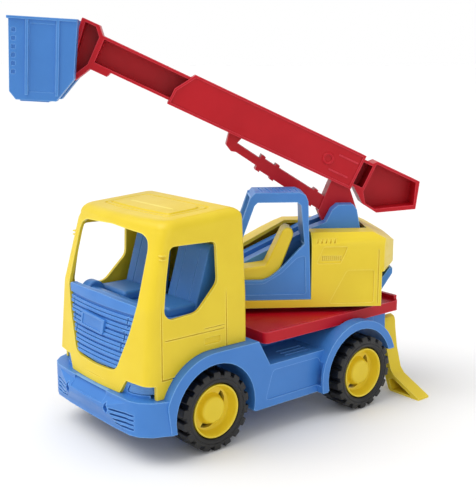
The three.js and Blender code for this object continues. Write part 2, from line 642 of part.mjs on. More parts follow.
function basketSide(inset) {
  const { y0, y1, z0, z1 } = BASKET;
  return [[y0 + 1 + inset, z0 + 6 + inset], [y0 + 6 + inset, z0 + inset], [-4.5 - inset * 0.5, z0 + inset],
    [y1 - 2 - inset, z0 + 17 + inset * 0.5], [y1 - inset, z1 + inset], [y0 + inset, z1 + inset]];
}

function basketShell() {
  const { x, y0, y1, z1, wall, slot, slotY, z0 } = BASKET;
  const outside = cut(alongX(basketSide(0), -x, x), box(-slot, slot, slotY, y1 + 5, z0 - 5, z1 + 10));
  const hollow = cut(
    alongX(basketSide(wall), -x + wall, x - wall),
    box(-slot - wall, slot + wall, slotY - wall, y1 + 5, z0 - 5, z1 + 10));
  const lip = cut(
    upZ(roundedRect(-x - 1.6, x + 1.6, y0 - 1.6, y1, 2), z1 - 2, z1),
    upZ(roundedRect(-x + wall, x - wall, y0 + wall, y1 - wall, 1), z1 - 5, z1 + 5),
    box(-slot - wall, slot + wall, slotY - wall, y1 + 5, z0 - 5, z1 + 10));
  const bridge = cut(
    box(-slot - wall, slot + wall, slotY - wall, y1, z1 - 2, z1),
    box(-slot, slot, slotY, y1 + 5, z0 - 5, z1 + 10));
  const ribs = both((side) => join(...[-27, -4].map((y) => box(
    ...span(side, x - 0.5, x + 1.4), y - 1.1, y + 1.1, z0 + 4, z1 - 1))));
  const foot = box(-16, 16, y0 + 8, y0 + 30, z0 - 1.4, z0 + 1);
  const bore = rodX(2.3, -slot - wall + 0.4, slot + wall - 0.4, 0, 0);
  return cut(join(cut(outside, hollow), lip, bridge, ribs, foot), bore);
}

basket.add(piece('basket', basketShell(), BLUE));
basket.add(piece('basket_pin', rodX(2, -BASKET.slot - 1.2, BASKET.slot + 1.2, 0, 0, 20), STEEL, 0.9));

// ---------------------------------------------------------------- outriggers
function legSide() {
  return [[3.5, 3.5], [0, 5], [-4, 3.5], [-5, 0], [-3, -20], [6, -44], [11, -56], [13, -58], [44, -58],
    [44, -56.4], [17, -43.5], [13, -39], [8, -22], [5.5, -6], [5, 0]];
}

function leg() {
  const depth = LEG_Y[1] - LEG_Y[0];
  const arm = alongY(legSide(), 0, depth);
  const hollow = alongY([[15, -56.2], [36, -56.2], [16, -46.4], [11, -48]], -1, depth - 2);
  return cut(arm, hollow, rodY(2.5, -1, depth + 1, 0, 0));
}

const legSolid = leg();

for (const [hand, side] of [['left', 1], ['right', -1]]) {
  const outrigger = new THREE.Group();
  outrigger.position.set(side * LEG_PIN.x, LEG_Y[0], LEG_PIN.z);
  const arm = side > 0 ? legSolid : legSolid.mirror([1, 0, 0]);
  outrigger.add(piece(`outrigger_${hand}`, arm, YELLOW));
  const pin = join(rodY(2, -6, LEG_Y[1] - LEG_Y[0] + 0.5, 0, 0), rodY(3.4, 13.3, 15, 0, 0));
  outrigger.add(piece(`outrigger_pin_${hand}`, pin, STEEL, 0.9));
  truck.add(outrigger);
}

// ---------------------------------------------------------------- placing
// The model's origin is the middle of its bounding box in plan, on the floor.
const model = new THREE.Group();
model.add(truck);
const bounds = new THREE.Box3().setFromObject(truck, true);
const middle = bounds.getCenter(new THREE.Vector3());
truck.position.set(-middle.x, -middle.y, -bounds.min.z);

export default model;
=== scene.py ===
"""Looks of a toy lift truck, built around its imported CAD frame.

Every piece is drawn in millimetres in the bay that its sub-assembly belongs to (the truck, the turning
upper body, the boom, the basket or a wheel), dressed in a moulded finish, and then set on the frame.
"""

from __future__ import annotations

import json
import logging
import math
from contextlib import contextmanager
from dataclasses import dataclass, field
from enum import Enum
from typing import Iterator, Sequence

import bpy
from mathutils import Matrix, Vector

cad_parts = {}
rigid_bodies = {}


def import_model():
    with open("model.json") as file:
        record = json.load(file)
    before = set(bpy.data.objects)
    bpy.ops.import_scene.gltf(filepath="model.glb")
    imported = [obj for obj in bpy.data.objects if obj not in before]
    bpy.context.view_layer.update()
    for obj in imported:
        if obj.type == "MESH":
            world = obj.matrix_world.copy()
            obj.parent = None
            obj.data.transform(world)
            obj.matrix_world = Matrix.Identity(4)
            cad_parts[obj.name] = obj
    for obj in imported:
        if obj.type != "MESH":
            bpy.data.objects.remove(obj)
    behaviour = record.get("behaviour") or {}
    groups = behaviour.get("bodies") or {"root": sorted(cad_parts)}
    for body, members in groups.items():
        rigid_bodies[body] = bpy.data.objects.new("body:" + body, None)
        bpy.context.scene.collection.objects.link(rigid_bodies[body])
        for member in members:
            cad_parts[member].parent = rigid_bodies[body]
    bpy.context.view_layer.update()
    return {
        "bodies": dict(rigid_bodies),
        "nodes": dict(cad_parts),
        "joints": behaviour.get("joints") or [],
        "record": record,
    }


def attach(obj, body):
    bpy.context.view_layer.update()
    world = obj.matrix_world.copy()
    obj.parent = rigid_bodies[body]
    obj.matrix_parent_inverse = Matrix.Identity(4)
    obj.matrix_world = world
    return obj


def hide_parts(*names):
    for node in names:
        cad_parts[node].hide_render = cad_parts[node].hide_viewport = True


LOG = logging.getLogger("lift_truck")
MM = 0.001

Point = tuple[float, float]
Ring = list[Vector]


# ---------------------------------------------------------------- shader helpers
class Wire:
    """A shader socket that takes part in Python arithmetic."""

    def __init__(self, recipe: "Recipe", socket: bpy.types.NodeSocket) -> None:
        """Wraps a socket.

        Args:
            recipe: the material that the socket belongs to.
            socket: the output socket.
        """
        self.recipe = recipe
        self.socket = socket

    def _math(self, operation: str, first: "Wire | float", second: "Wire | float") -> "Wire":
        """Adds one Math node."""
        return self.recipe.node("ShaderNodeMath", {"operation": operation}, {0: first, 1: second})[0]

    def __add__(self, other: "Wire | float") -> "Wire":
        """self + other."""
        return self._math("ADD", self, other)

    __radd__ = __add__

    def __sub__(self, other: "Wire | float") -> "Wire":
        """self - other."""
        return self._math("SUBTRACT", self, other)

    def __rsub__(self, other: "Wire | float") -> "Wire":
        """other - self."""
        return self._math("SUBTRACT", other, self)

    def __mul__(self, other: "Wire | float") -> "Wire":
        """self * other."""
        return self._math("MULTIPLY", self, other)

    __rmul__ = __mul__

    def above(self, low: float, high: float) -> "Wire":
        """A mask that rises from 0 at low to 1 at high."""
        settings = {"clamp": True}
        return self.recipe.node("ShaderNodeMapRange", settings, {0: self, 1: low, 2: high})[0]


class Recipe:
    """The node tree of one material."""

    def __init__(self, name: str) -> None:
        """Starts a material with an empty tree.

        Args:
            name: the material's name.
        """
        self.material = bpy.data.materials.new(name)
        self.material.use_nodes = True
        self.tree = self.material.node_tree
        self.tree.nodes.clear()

    def node(self, kind: str, settings: dict, inputs: dict) -> list[Wire]:
        """Adds a node.

        Args:
            kind: the node's type.
            settings: its properties; a list under "stops" fills a colour ramp.
            inputs: its sockets' values or wires, by name or number.

        Returns:
            The node's outputs.
        """
        made = self.tree.nodes.new(kind)
        for key, value in settings.items():
            if key == "stops":
                self._stops(made.color_ramp, value)
            else:
                setattr(made, key, value)
        for key, value in inputs.items():
            if isinstance(value, Wire):
                self.tree.links.new(value.socket, made.inputs[key])
            else:
                made.inputs[key].default_value = value
        return [Wire(self, socket) for socket in made.outputs]

    @staticmethod
    def _stops(ramp: bpy.types.ColorRamp, stops: Sequence[tuple[float, tuple]]) -> None:
        """Sets a colour ramp's stops."""
        while len(ramp.elements) < len(stops):
            ramp.elements.new(1.0)
        for element, (place, colour) in zip(ramp.elements, stops):
            element.position = place
            element.color = colour

    def place(self) -> Wire:
        """Object coordinates."""
        return self.node("ShaderNodeTexCoord", {}, {})[3]

    def stretched(self, scale: Sequence[float]) -> Wire:
        """Object coordinates, stretched by a scale on each axis."""
        return self.node("ShaderNodeMapping", {}, {0: self.place(), 3: tuple(scale)})[0]

    def noise(self, scale: float, detail: float = 2.0, where: Wire | None = None) -> Wire:
        """A noise value with about `scale` features in a metre."""
        inputs = {"Vector": where or self.place(), "Scale": scale, "Detail": detail}
        return self.node("ShaderNodeTexNoise", {}, inputs)[0]

    def blend(self, share: Wire | float, first: "Wire | tuple", second: "Wire | tuple") -> Wire:
        """A colour between first and second."""
        outputs = self.node(
            "ShaderNodeMix", {"data_type": "RGBA"}, {0: share, 6: first, 7: second})
        return outputs[2]

    def bump(self, height: Wire, strength: float, distance: float) -> Wire:
        """A normal bent by a height.

        Args:
            height: the height, in units of distance.
            strength: how far the normal follows it.
            distance: the depth of a unit of height, in metres.

        Returns:
            The bent normal.
        """
        inputs = {"Height": height, "Strength": strength, "Distance": distance}
        return self.node("ShaderNodeBump", {}, inputs)[0]

    def edges(self) -> Wire:
        """A mask of the convex edges, from how close the surface is to itself seen from inside."""
        settings = {"inside": True, "only_local": True, "samples": 6}
        closed = self.node("ShaderNodeAmbientOcclusion", settings, {"Distance": 0.0009})[1]
        return (1.0 - closed).above(0.08, 0.4)

    def finish(self, **inputs: "Wire | float | tuple") -> bpy.types.Material:
        """Ends the tree in a Principled shader.

        Args:
            inputs: the shader's sockets, with _ for a space.

        Returns:
            The material.
        """
        named = {key.replace("_", " "): value for key, value in inputs.items()}
        shader = self.node("ShaderNodeBsdfPrincipled", {}, named)[0]
        self.node("ShaderNodeOutputMaterial", {}, {0: shader})
        return self.material


def rgba(colour: Sequence[float]) -> tuple[float, float, float, float]:
    """A colour with full alpha."""
    return (colour[0], colour[1], colour[2], 1.0)


class Slot(Enum):
    """The record's material slots."""

    YELLOW = "yellow_plastic"
    BLUE = "blue_plastic"
    RED = "red_plastic"
    BLACK = "black_plastic"
    STEEL = "steel"


@dataclass(frozen=True)
class MouldedPlastic:
    """Satin moulded plastic: fine grain, faint flow clouding, a painted highlight along its convex edges and
    light scuffs.
    """

    slot: Slot
    colour: tuple[float, float, float]
    cloud: tuple[float, float, float]
    # edge: the colour of the painted highlight along convex edges
    edge: tuple[float, float, float]
    roughness: float = 0.38
    edge_highlight_share: float = 0.75
    grain: float = 0.05
    shine: float = 0.4

    def material(self) -> bpy.types.Material:
        """Builds the material."""
        recipe = Recipe(self.slot.value)
        clouding = recipe.noise(38.0, 3.0).above(0.35, 0.7)
        base = recipe.blend(clouding * 0.55, rgba(self.colour), rgba(self.cloud))
        # painted highlight: the paler edge colour mixed in along convex edges, broken up by noise
        painted_edge_highlight = recipe.edges() * (recipe.noise(210.0).above(0.2, 0.55) * 0.5 + 0.5)
        base = recipe.blend(painted_edge_highlight * self.edge_highlight_share, base, rgba(self.edge))
        scuff = recipe.noise(95.0, 6.0, recipe.stretched((1.0, 0.35, 2.4))).above(0.56, 0.74)
        grain = recipe.noise(3200.0, 2.0) + recipe.noise(900.0, 2.0) * 0.6
        return recipe.finish(
            Base_Color=base,
            Roughness=scuff * 0.12 + clouding * 0.05 + self.roughness,
            Normal=recipe.bump(grain, self.grain, 0.0006),
            IOR=1.49,
            Specular_IOR_Level=self.shine,
        )


@dataclass(frozen=True)
class LensPlastic:
    """Plastic moulded with fine crossing prisms, as on a headlamp."""

    colour: tuple[float, float, float] = (0.11, 0.27, 0.56)
    pitch: float = 520.0

    def material(self) -> bpy.types.Material:
        """Builds the material."""
        recipe = Recipe("lamp_prisms")
        settings = {"wave_type": "BANDS", "bands_direction": "DIAGONAL"}
        bands = recipe.node(
            "ShaderNodeTexWave", settings, {"Vector": recipe.place(), "Scale": self.pitch})[1]
        crossing = recipe.node(
            "ShaderNodeTexWave", {"wave_type": "BANDS", "bands_direction": "Z"},
            {"Vector": recipe.place(), "Scale": self.pitch * 0.5})[1]
        height = bands * 0.6 + crossing * 0.4
        base = recipe.blend(height, rgba(self.colour), rgba([c * 1.35 for c in self.colour]))
        return recipe.finish(
            Base_Color=base, Roughness=0.24 + recipe.noise(140.0) * 0.1,
            Normal=recipe.bump(height, 0.5, 0.0004), IOR=1.49)


@dataclass(frozen=True)
class TyrePlastic:
    """Black tyre plastic: matt, paler along its convex edges and slightly mottled."""

    colour: tuple[float, float, float] = (0.004, 0.004, 0.005)
    dust: tuple[float, float, float] = (0.014, 0.014, 0.014)

    def material(self) -> bpy.types.Material:
        """Builds the material."""
        recipe = Recipe(Slot.BLACK.value)
        mottle = recipe.noise(160.0, 5.0).above(0.4, 0.72)
        base = recipe.blend(mottle * 0.4, rgba(self.colour), rgba(self.dust))
        # a paler colour mixed in along convex edges by the convex-edge mask
        base = recipe.blend(recipe.edges() * 0.55, base, rgba([c * 1.8 for c in self.dust]))
        grain = recipe.noise(2400.0, 3.0) + recipe.noise(420.0, 3.0)
        return recipe.finish(
            Base_Color=base, Roughness=mottle * 0.16 + 0.4,
            Normal=recipe.bump(grain, 0.12, 0.0006), IOR=1.5)


@dataclass(frozen=True)
class DrawnSteel:
    """Bright drawn steel wire with fine draw lines."""

    colour: tuple[float, float, float] = (0.6, 0.6, 0.62)

    def material(self) -> bpy.types.Material:
        """Builds the material."""
        recipe = Recipe(Slot.STEEL.value)
        lines = recipe.noise(900.0, 4.0, recipe.stretched((0.05, 1.0, 1.0)))
        dull = recipe.noise(120.0, 3.0).above(0.45, 0.75)
        base = recipe.blend(dull * 0.4, rgba(self.colour), rgba([c * 0.6 for c in self.colour]))
        return recipe.finish(
            Base_Color=base, Roughness=lines * 0.18 + dull * 0.1 + 0.2, Metallic=1.0,
            Normal=recipe.bump(lines, 0.15, 0.0002))


@dataclass(frozen=True)
class StudioFloor:
    """A matt pale floor with a breath of unevenness."""

    colour: tuple[float, float, float] = (0.93, 0.93, 0.93)

    def material(self) -> bpy.types.Material:
        """Builds the material."""
        recipe = Recipe("studio_floor")
        patch = recipe.noise(3.0, 3.0)
        base = recipe.blend(patch * 0.3, rgba(self.colour), rgba([c * 0.985 for c in self.colour]))
        return recipe.finish(Base_Color=base, Roughness=patch * 0.1 + 0.75)


class Finishes:
    """The truck's materials, built once."""

    def __init__(self) -> None:
        """Builds every material."""
        # each plastic: its own colour, its flow clouding tone, then the colour of its painted edge highlight
        self.by_slot = {
            Slot.YELLOW: MouldedPlastic(
                Slot.YELLOW, (0.80, 0.60, 0.022), (0.74, 0.535, 0.016), (0.92, 0.78, 0.14)).material(),
            Slot.BLUE: MouldedPlastic(
                Slot.BLUE, (0.052, 0.215, 0.60), (0.042, 0.185, 0.54), (0.20, 0.45, 0.84)).material(),
            Slot.RED: MouldedPlastic(
                Slot.RED, (0.50, 0.003, 0.012), (0.43, 0.002, 0.010), (0.80, 0.07, 0.11),
                roughness=0.36, edge_highlight_share=0.7, shine=0.25).material(),
            Slot.BLACK: TyrePlastic().material(),
            Slot.STEEL: DrawnSteel().material(),
        }
        self.lens = LensPlastic().material()
        self.floor = StudioFloor().material()


# ---------------------------------------------------------------- the modelling bench
class Axis(Enum):
    """The direction that an outline is pushed along, with the two that it is drawn in."""

    X = (0, 1, 2)
    Y = (1, 0, 2)
    Z = (2, 0, 1)


class Pick(Enum):
    """What an edit acts on."""

    EDGES = (False, True, False)
    FACES = (False, False, True)


class Bench:
    """The hand tools: each one drives Blender's own operators."""

    @staticmethod
    def take(obj: bpy.types.Object) -> None:
        """Selects one object alone."""
        bpy.ops.object.select_all(action="DESELECT")
        obj.select_set(True)
        bpy.context.view_layer.objects.active = obj

    @staticmethod
    @contextmanager
    def editing(obj: bpy.types.Object, pick: Pick = Pick.FACES) -> Iterator[None]:
        """Edit mode on one object.

        Args:
            obj: the object.
            pick: the kind of element that is selected.
        """
        Bench.take(obj)
        bpy.context.tool_settings.mesh_select_mode = pick.value
        bpy.ops.object.mode_set(mode="EDIT")
        yield
        bpy.ops.object.mode_set(mode="OBJECT")

    @staticmethod
    def clear(obj: bpy.types.Object) -> None:
        """Deselects all of a mesh."""
        for group in (obj.data.vertices, obj.data.edges, obj.data.polygons):
            group.foreach_set("select", [False] * len(group))

    @staticmethod
    def loft(name: str, rings: Sequence[Ring]) -> bpy.types.Object:
        """A closed solid through rings that have the same number of points.

        Args:
            name: the new object's name.
            rings: the outlines, from one end to the other.

        Returns:
            The solid.
        """
        bpy.ops.object.select_all(action="DESELECT")
        bpy.ops.mesh.primitive_circle_add(vertices=len(rings[0]), fill_type="NGON")
        obj = bpy.context.active_object
        obj.name = obj.data.name = name
        for vertex, place in zip(obj.data.vertices, rings[0]):
            vertex.co = place
        for low, high in zip(rings, rings[1:]):
            where = {tuple(round(c, 3) for c in place): k for k, place in enumerate(low)}
            with Bench.editing(obj):
                bpy.ops.mesh.extrude_region_move()
            for vertex in obj.data.vertices:
                if vertex.select:
                    vertex.co = high[where[tuple(round(c, 3) for c in vertex.co)]]
        Bench.clear(obj)
        with Bench.editing(obj):
            bpy.ops.mesh.select_all(action="SELECT")
            bpy.ops.mesh.normals_make_consistent(inside=False)
        return obj

    @staticmethod
    def prism(
        name: str, outline: Sequence[Point], axis: Axis, low: float, high: float
    ) -> bpy.types.Object:
        """An outline pushed along an axis from low to high."""
        along, first, second = axis.value

        def ring(level: float) -> Ring:
            """The outline at one level."""
            points = []
            for a, b in outline:
                point = Vector((0.0, 0.0, 0.0))
                point[along], point[first], point[second] = level, a, b
                points.append(point)
            return points

        return Bench.loft(name, [ring(low), ring(high)])

    @staticmethod
    def block(
        name: str, low: Sequence[float], high: Sequence[float], edge: float = 0.0
    ) -> bpy.types.Object:
        """A box between two corners, with its edges rounded by edge."""
        middle = [(a + b) / 2 for a, b in zip(low, high)]
        size = [abs(b - a) for a, b in zip(low, high)]
        bpy.ops.object.select_all(action="DESELECT")
        bpy.ops.mesh.primitive_cube_add(size=1.0, location=middle, scale=size)
        obj = bpy.context.active_object
        obj.name = obj.data.name = name
        bpy.ops.object.transform_apply(location=True, rotation=True, scale=True)
        if edge > 0:
            Bench.round_edges(obj, edge, 3)
        return obj

    @staticmethod
    def rod(
        name: str, axis: Axis, radius: float, low: float, high: float, centre: Point = (0.0, 0.0),
        sides: int = 48, edge: float = 0.0
    ) -> bpy.types.Object:
        """A round bar along an axis, with its end rims rounded by edge."""
        outline = arc(centre, radius, 0.0, 360.0, sides)[:-1]
        obj = Bench.prism(name, outline, axis, low, high)
        if edge > 0:
            Bench.round_edges(obj, edge, 3)
        return obj

    @staticmethod
    def turned(name: str, profile: Sequence[Point], sides: int = 72) -> bpy.types.Object:
        """A closed profile of (radius, x) points spun about the X axis."""
        bpy.ops.object.select_all(action="DESELECT")
        bpy.ops.mesh.primitive_circle_add(vertices=len(profile), fill_type="NOTHING")
        obj = bpy.context.active_object
        obj.name = obj.data.name = name
        for vertex, (radius, x) in zip(obj.data.vertices, profile):
            vertex.co = (x, radius, 0.0)
        with Bench.editing(obj, Pick.EDGES):
            bpy.ops.mesh.select_all(action="SELECT")
            bpy.ops.mesh.spin(steps=sides, angle=math.tau, center=(0, 0, 0), axis=(1, 0, 0))
            bpy.ops.mesh.select_all(action="SELECT")
            bpy.ops.mesh.remove_doubles(threshold=0.002)
            bpy.ops.mesh.normals_make_consistent(inside=False)
        return obj

    @staticmethod
    def apply(obj: bpy.types.Object, kind: str, **settings: object) -> bpy.types.Object:
        """Adds a modifier with its settings and applies it."""
        modifier = obj.modifiers.new(kind.lower(), kind)
        for key, value in settings.items():
            setattr(modifier, key, value)
        Bench.take(obj)
        bpy.ops.object.modifier_apply(modifier=modifier.name)
        return obj

    @staticmethod
    def round_edges(
        obj: bpy.types.Object, width: float, segments: int = 2, angle: float = 32.0
    ) -> bpy.types.Object:
        """Rounds every edge sharper than angle."""
        return Bench.apply(
            obj, "BEVEL", width=width, segments=segments, limit_method="ANGLE",
            angle_limit=math.radians(angle), use_clamp_overlap=True, miter_outer="MITER_ARC")

    @staticmethod
    def _boolean(
        obj: bpy.types.Object, tools: Sequence[bpy.types.Object], operation: str
    ) -> bpy.types.Object:
        """Runs one boolean for each tool and takes the tools away."""
        for tool in tools:
            Bench.apply(obj, "BOOLEAN", object=tool, operation=operation, solver="EXACT")
            bpy.data.objects.remove(tool)
        return obj

    @staticmethod
    def cut(obj: bpy.types.Object, *tools: bpy.types.Object) -> bpy.types.Object:
        """obj without the tools."""
        return Bench._boolean(obj, tools, "DIFFERENCE")

    @staticmethod
    def join(obj: bpy.types.Object, *tools: bpy.types.Object) -> bpy.types.Object:
        """obj with the tools."""
        return Bench._boolean(obj, tools, "UNION")

    @staticmethod
    def common(obj: bpy.types.Object, *tools: bpy.types.Object) -> bpy.types.Object:
        """What obj and the tools share."""
        return Bench._boolean(obj, tools, "INTERSECT")

    @staticmethod
    def copy(obj: bpy.types.Object, name: str, change: Matrix | None = None) -> bpy.types.Object:
        """A copy with its own mesh, moved by a matrix."""
        made = obj.copy()
        made.data = obj.data.copy()
        made.name = made.data.name = name
        bpy.context.scene.collection.objects.link(made)
        if change is not None:
            made.data.transform(change)
            if change.determinant() < 0:
                made.data.flip_normals()
        return made

    @staticmethod
    def gather(objects: Sequence[bpy.types.Object]) -> bpy.types.Object:
        """One object holding several that don't touch."""
        bpy.ops.object.select_all(action="DESELECT")
        for obj in objects:
            obj.select_set(True)
        bpy.context.view_layer.objects.active = objects[0]
        bpy.ops.object.join()
        return objects[0]

    @staticmethod
    def both_sides(obj: bpy.types.Object) -> bpy.types.Object:
        """obj and its mirror image across X = 0, as one object."""
        other = Bench.copy(obj, obj.name + "_mirror", Matrix.Scale(-1, 4, (1, 0, 0)))
        return Bench.gather([obj, other])


def arc(centre: Point, radius: float, start: float, end: float, steps: int) -> list[Point]:
    """Points on an arc, ends included.

    Args:
        centre: its middle.
        radius: its radius.
        start: the first angle, in degrees.
        end: the last angle, in degrees.
        steps: the number of stretches.

    Returns:
        The points.
    """
    angles = [math.radians(start + (end - start) * k / steps) for k in range(steps + 1)]
    return [(centre[0] + radius * math.cos(a), centre[1] + radius * math.sin(a)) for a in angles]


def rounded(outline: Sequence[Point], radius: float, steps: int = 4) -> list[Point]:
    """A convex outline with its corners rounded.

    Args:
        outline: the sharp corners.
        radius: how far the rounding reaches along each side, in millimetres.
        steps: the stretches in each corner.

    Returns:
        The rounded outline.
    """
    made = []
    count = len(outline)
    for k in range(count):
        before, corner, after = (Vector(outline[(k + j) % count]) for j in (-1, 0, 1))
        reach = min(radius, (before - corner).length * 0.45, (after - corner).length * 0.45)
        start = corner + (before - corner).normalized() * reach
        end = corner + (after - corner).normalized() * reach
        for j in range(steps + 1):
            t = j / steps
            point = start.lerp(corner, t).lerp(corner.lerp(end, t), t)
            made.append((point.x, point.y))
    return made


def mirrored(half: Sequence[Point]) -> list[Point]:
    """A half outline on the left, with its mirror image on the right."""
    return [*half, *[(-a, b) for a, b in reversed(half) if a > 0]]


class Bay:
    """A drawing frame in millimetres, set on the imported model."""

    def __init__(self, origin: Vector, x: Vector, y: Vector) -> None:
        """Sets the frame.

        Args:
            origin: its origin on the model, in metres.
            x: its X direction.
            y: its Y direction.
        """
        turn = Matrix((x, y, x.cross(y))).transposed().to_4x4()
        self.matrix = Matrix.Translation(origin) @ turn @ Matrix.Scale(MM, 4)

    def point(self, place: Sequence[float]) -> Vector:
        """A place in the frame, as a point on the model in metres."""
        return self.matrix @ Vector(place)

    def from_cad(self, node: str, name: str, whole: bool = True) -> bpy.types.Object:
        """A merged copy of a CAD node, drawn in this frame.

        Args:
            node: the CAD node.
            name: the copy's name.
            whole: whether triangles in one plane are made one face again.

        Returns:
            The copy.
        """
        made = Bench.copy(bpy.data.objects[node], name, self.matrix.inverted())
        made.parent = None
        made.hide_render = False
        for key in [key for key in made.keys() if key.startswith("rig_")]:
            del made[key]
        made.data.materials.clear()
        Bench.take(made)
        bpy.ops.mesh.customdata_custom_splitnormals_clear()
        with Bench.editing(made):
            bpy.ops.mesh.select_all(action="SELECT")
            bpy.ops.mesh.remove_doubles(threshold=0.003)
            if whole:
                bpy.ops.mesh.dissolve_limited(angle_limit=math.radians(0.6))
        return made

    def box(self, node: str) -> tuple[Vector, Vector]:
        """A CAD node's lowest and highest corners in this frame."""
        inverse = self.matrix.inverted()
        places = [inverse @ v.co for v in bpy.data.objects[node].data.vertices]
        low = Vector([min(p[k] for p in places) for k in range(3)])
        high = Vector([max(p[k] for p in places) for k in range(3)])
        return low, high


class Bays:
    """The drawing frames of every sub-assembly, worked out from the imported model."""

    BASKET_LEVEL_DEG = 21.9

    def __init__(self, joints: Sequence[dict]) -> None:
        """Reads the frame.

        Args:
            joints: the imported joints.
        """
        by_name = {joint["name"]: joint for joint in joints}
        across, up = Vector((1, 0, 0)), Vector((0, 0, 1))
        front = Vector(by_name["front_wheels_roll"]["pos_m"])
        rear = Vector(by_name["rear_wheels_roll"]["pos_m"])
        middle = (front + rear) / 2
        self.truck = Bay(Vector((middle.x, middle.y, 0)), across, Vector((0, 1, 0)))
        self.front_wheels = Bay(front, across, Vector((0, 1, 0)))
        self.rear_wheels = Bay(rear, across, Vector((0, 1, 0)))
        slew = Vector(by_name["slew"]["pos_m"])
        side = -Vector(by_name["boom_lift"]["axis"]).normalized()
        self.upper = Bay(Vector((slew.x, slew.y, 0)), side, up.cross(side))
        back = -Vector(by_name["boom_extend"]["axis"]).normalized()
        side = (side - back * side.dot(back)).normalized()
        self.boom = Bay(Vector(by_name["boom_lift"]["pos_m"]), side, back)
        depth = side.cross(back)
        angle = math.radians(self.BASKET_LEVEL_DEG)
        level = back * math.cos(angle) + depth * math.sin(angle)
        self.basket = Bay(Vector(by_name["basket_tilt"]["pos_m"]), side, level)
        self.legs = {
            hand: Bay(Vector(by_name[f"outrigger_{hand}_swing"]["pos_m"]), across, Vector((0, 1, 0)))
            for hand in ("left", "right")
        }


class Shop:
    """Where finished pieces are dressed and set on the frame."""

    SMOOTH_DEG = 38.0

    def __init__(self, finishes: Finishes) -> None:
        """Keeps the materials.

        Args:
            finishes: the truck's materials.
        """
        self.finishes = finishes

    def deliver(
        self, obj: bpy.types.Object, bay: Bay, body: str, slot: Slot, replaces: Sequence[str] = (),
        material: bpy.types.Material | None = None
    ) -> bpy.types.Object:
        """Finishes a piece.

        Args:
            obj: the piece, in its bay's millimetres.
            bay: the bay.
            body: the CAD body that it rides on.
            slot: the record's material slot.
            replaces: the CAD nodes that it stands for.
            material: a finish of its own, where it isn't the slot's.

        Returns:
            The piece.
        """
        Bench.clear(obj)
        obj.data.transform(bay.matrix)
        obj.data.materials.clear()
        obj.data.materials.append(material or self.finishes.by_slot[slot])
        Bench.take(obj)
        bpy.ops.object.shade_smooth_by_angle(angle=math.radians(self.SMOOTH_DEG))
        Bench.apply(obj, "WEIGHTED_NORMAL", keep_sharp=True, weight=60)
        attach(obj, body)
        if replaces:
            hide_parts(*replaces)
        LOG.info("%s: %d faces on %s", obj.name, len(obj.data.polygons), body)
        return obj


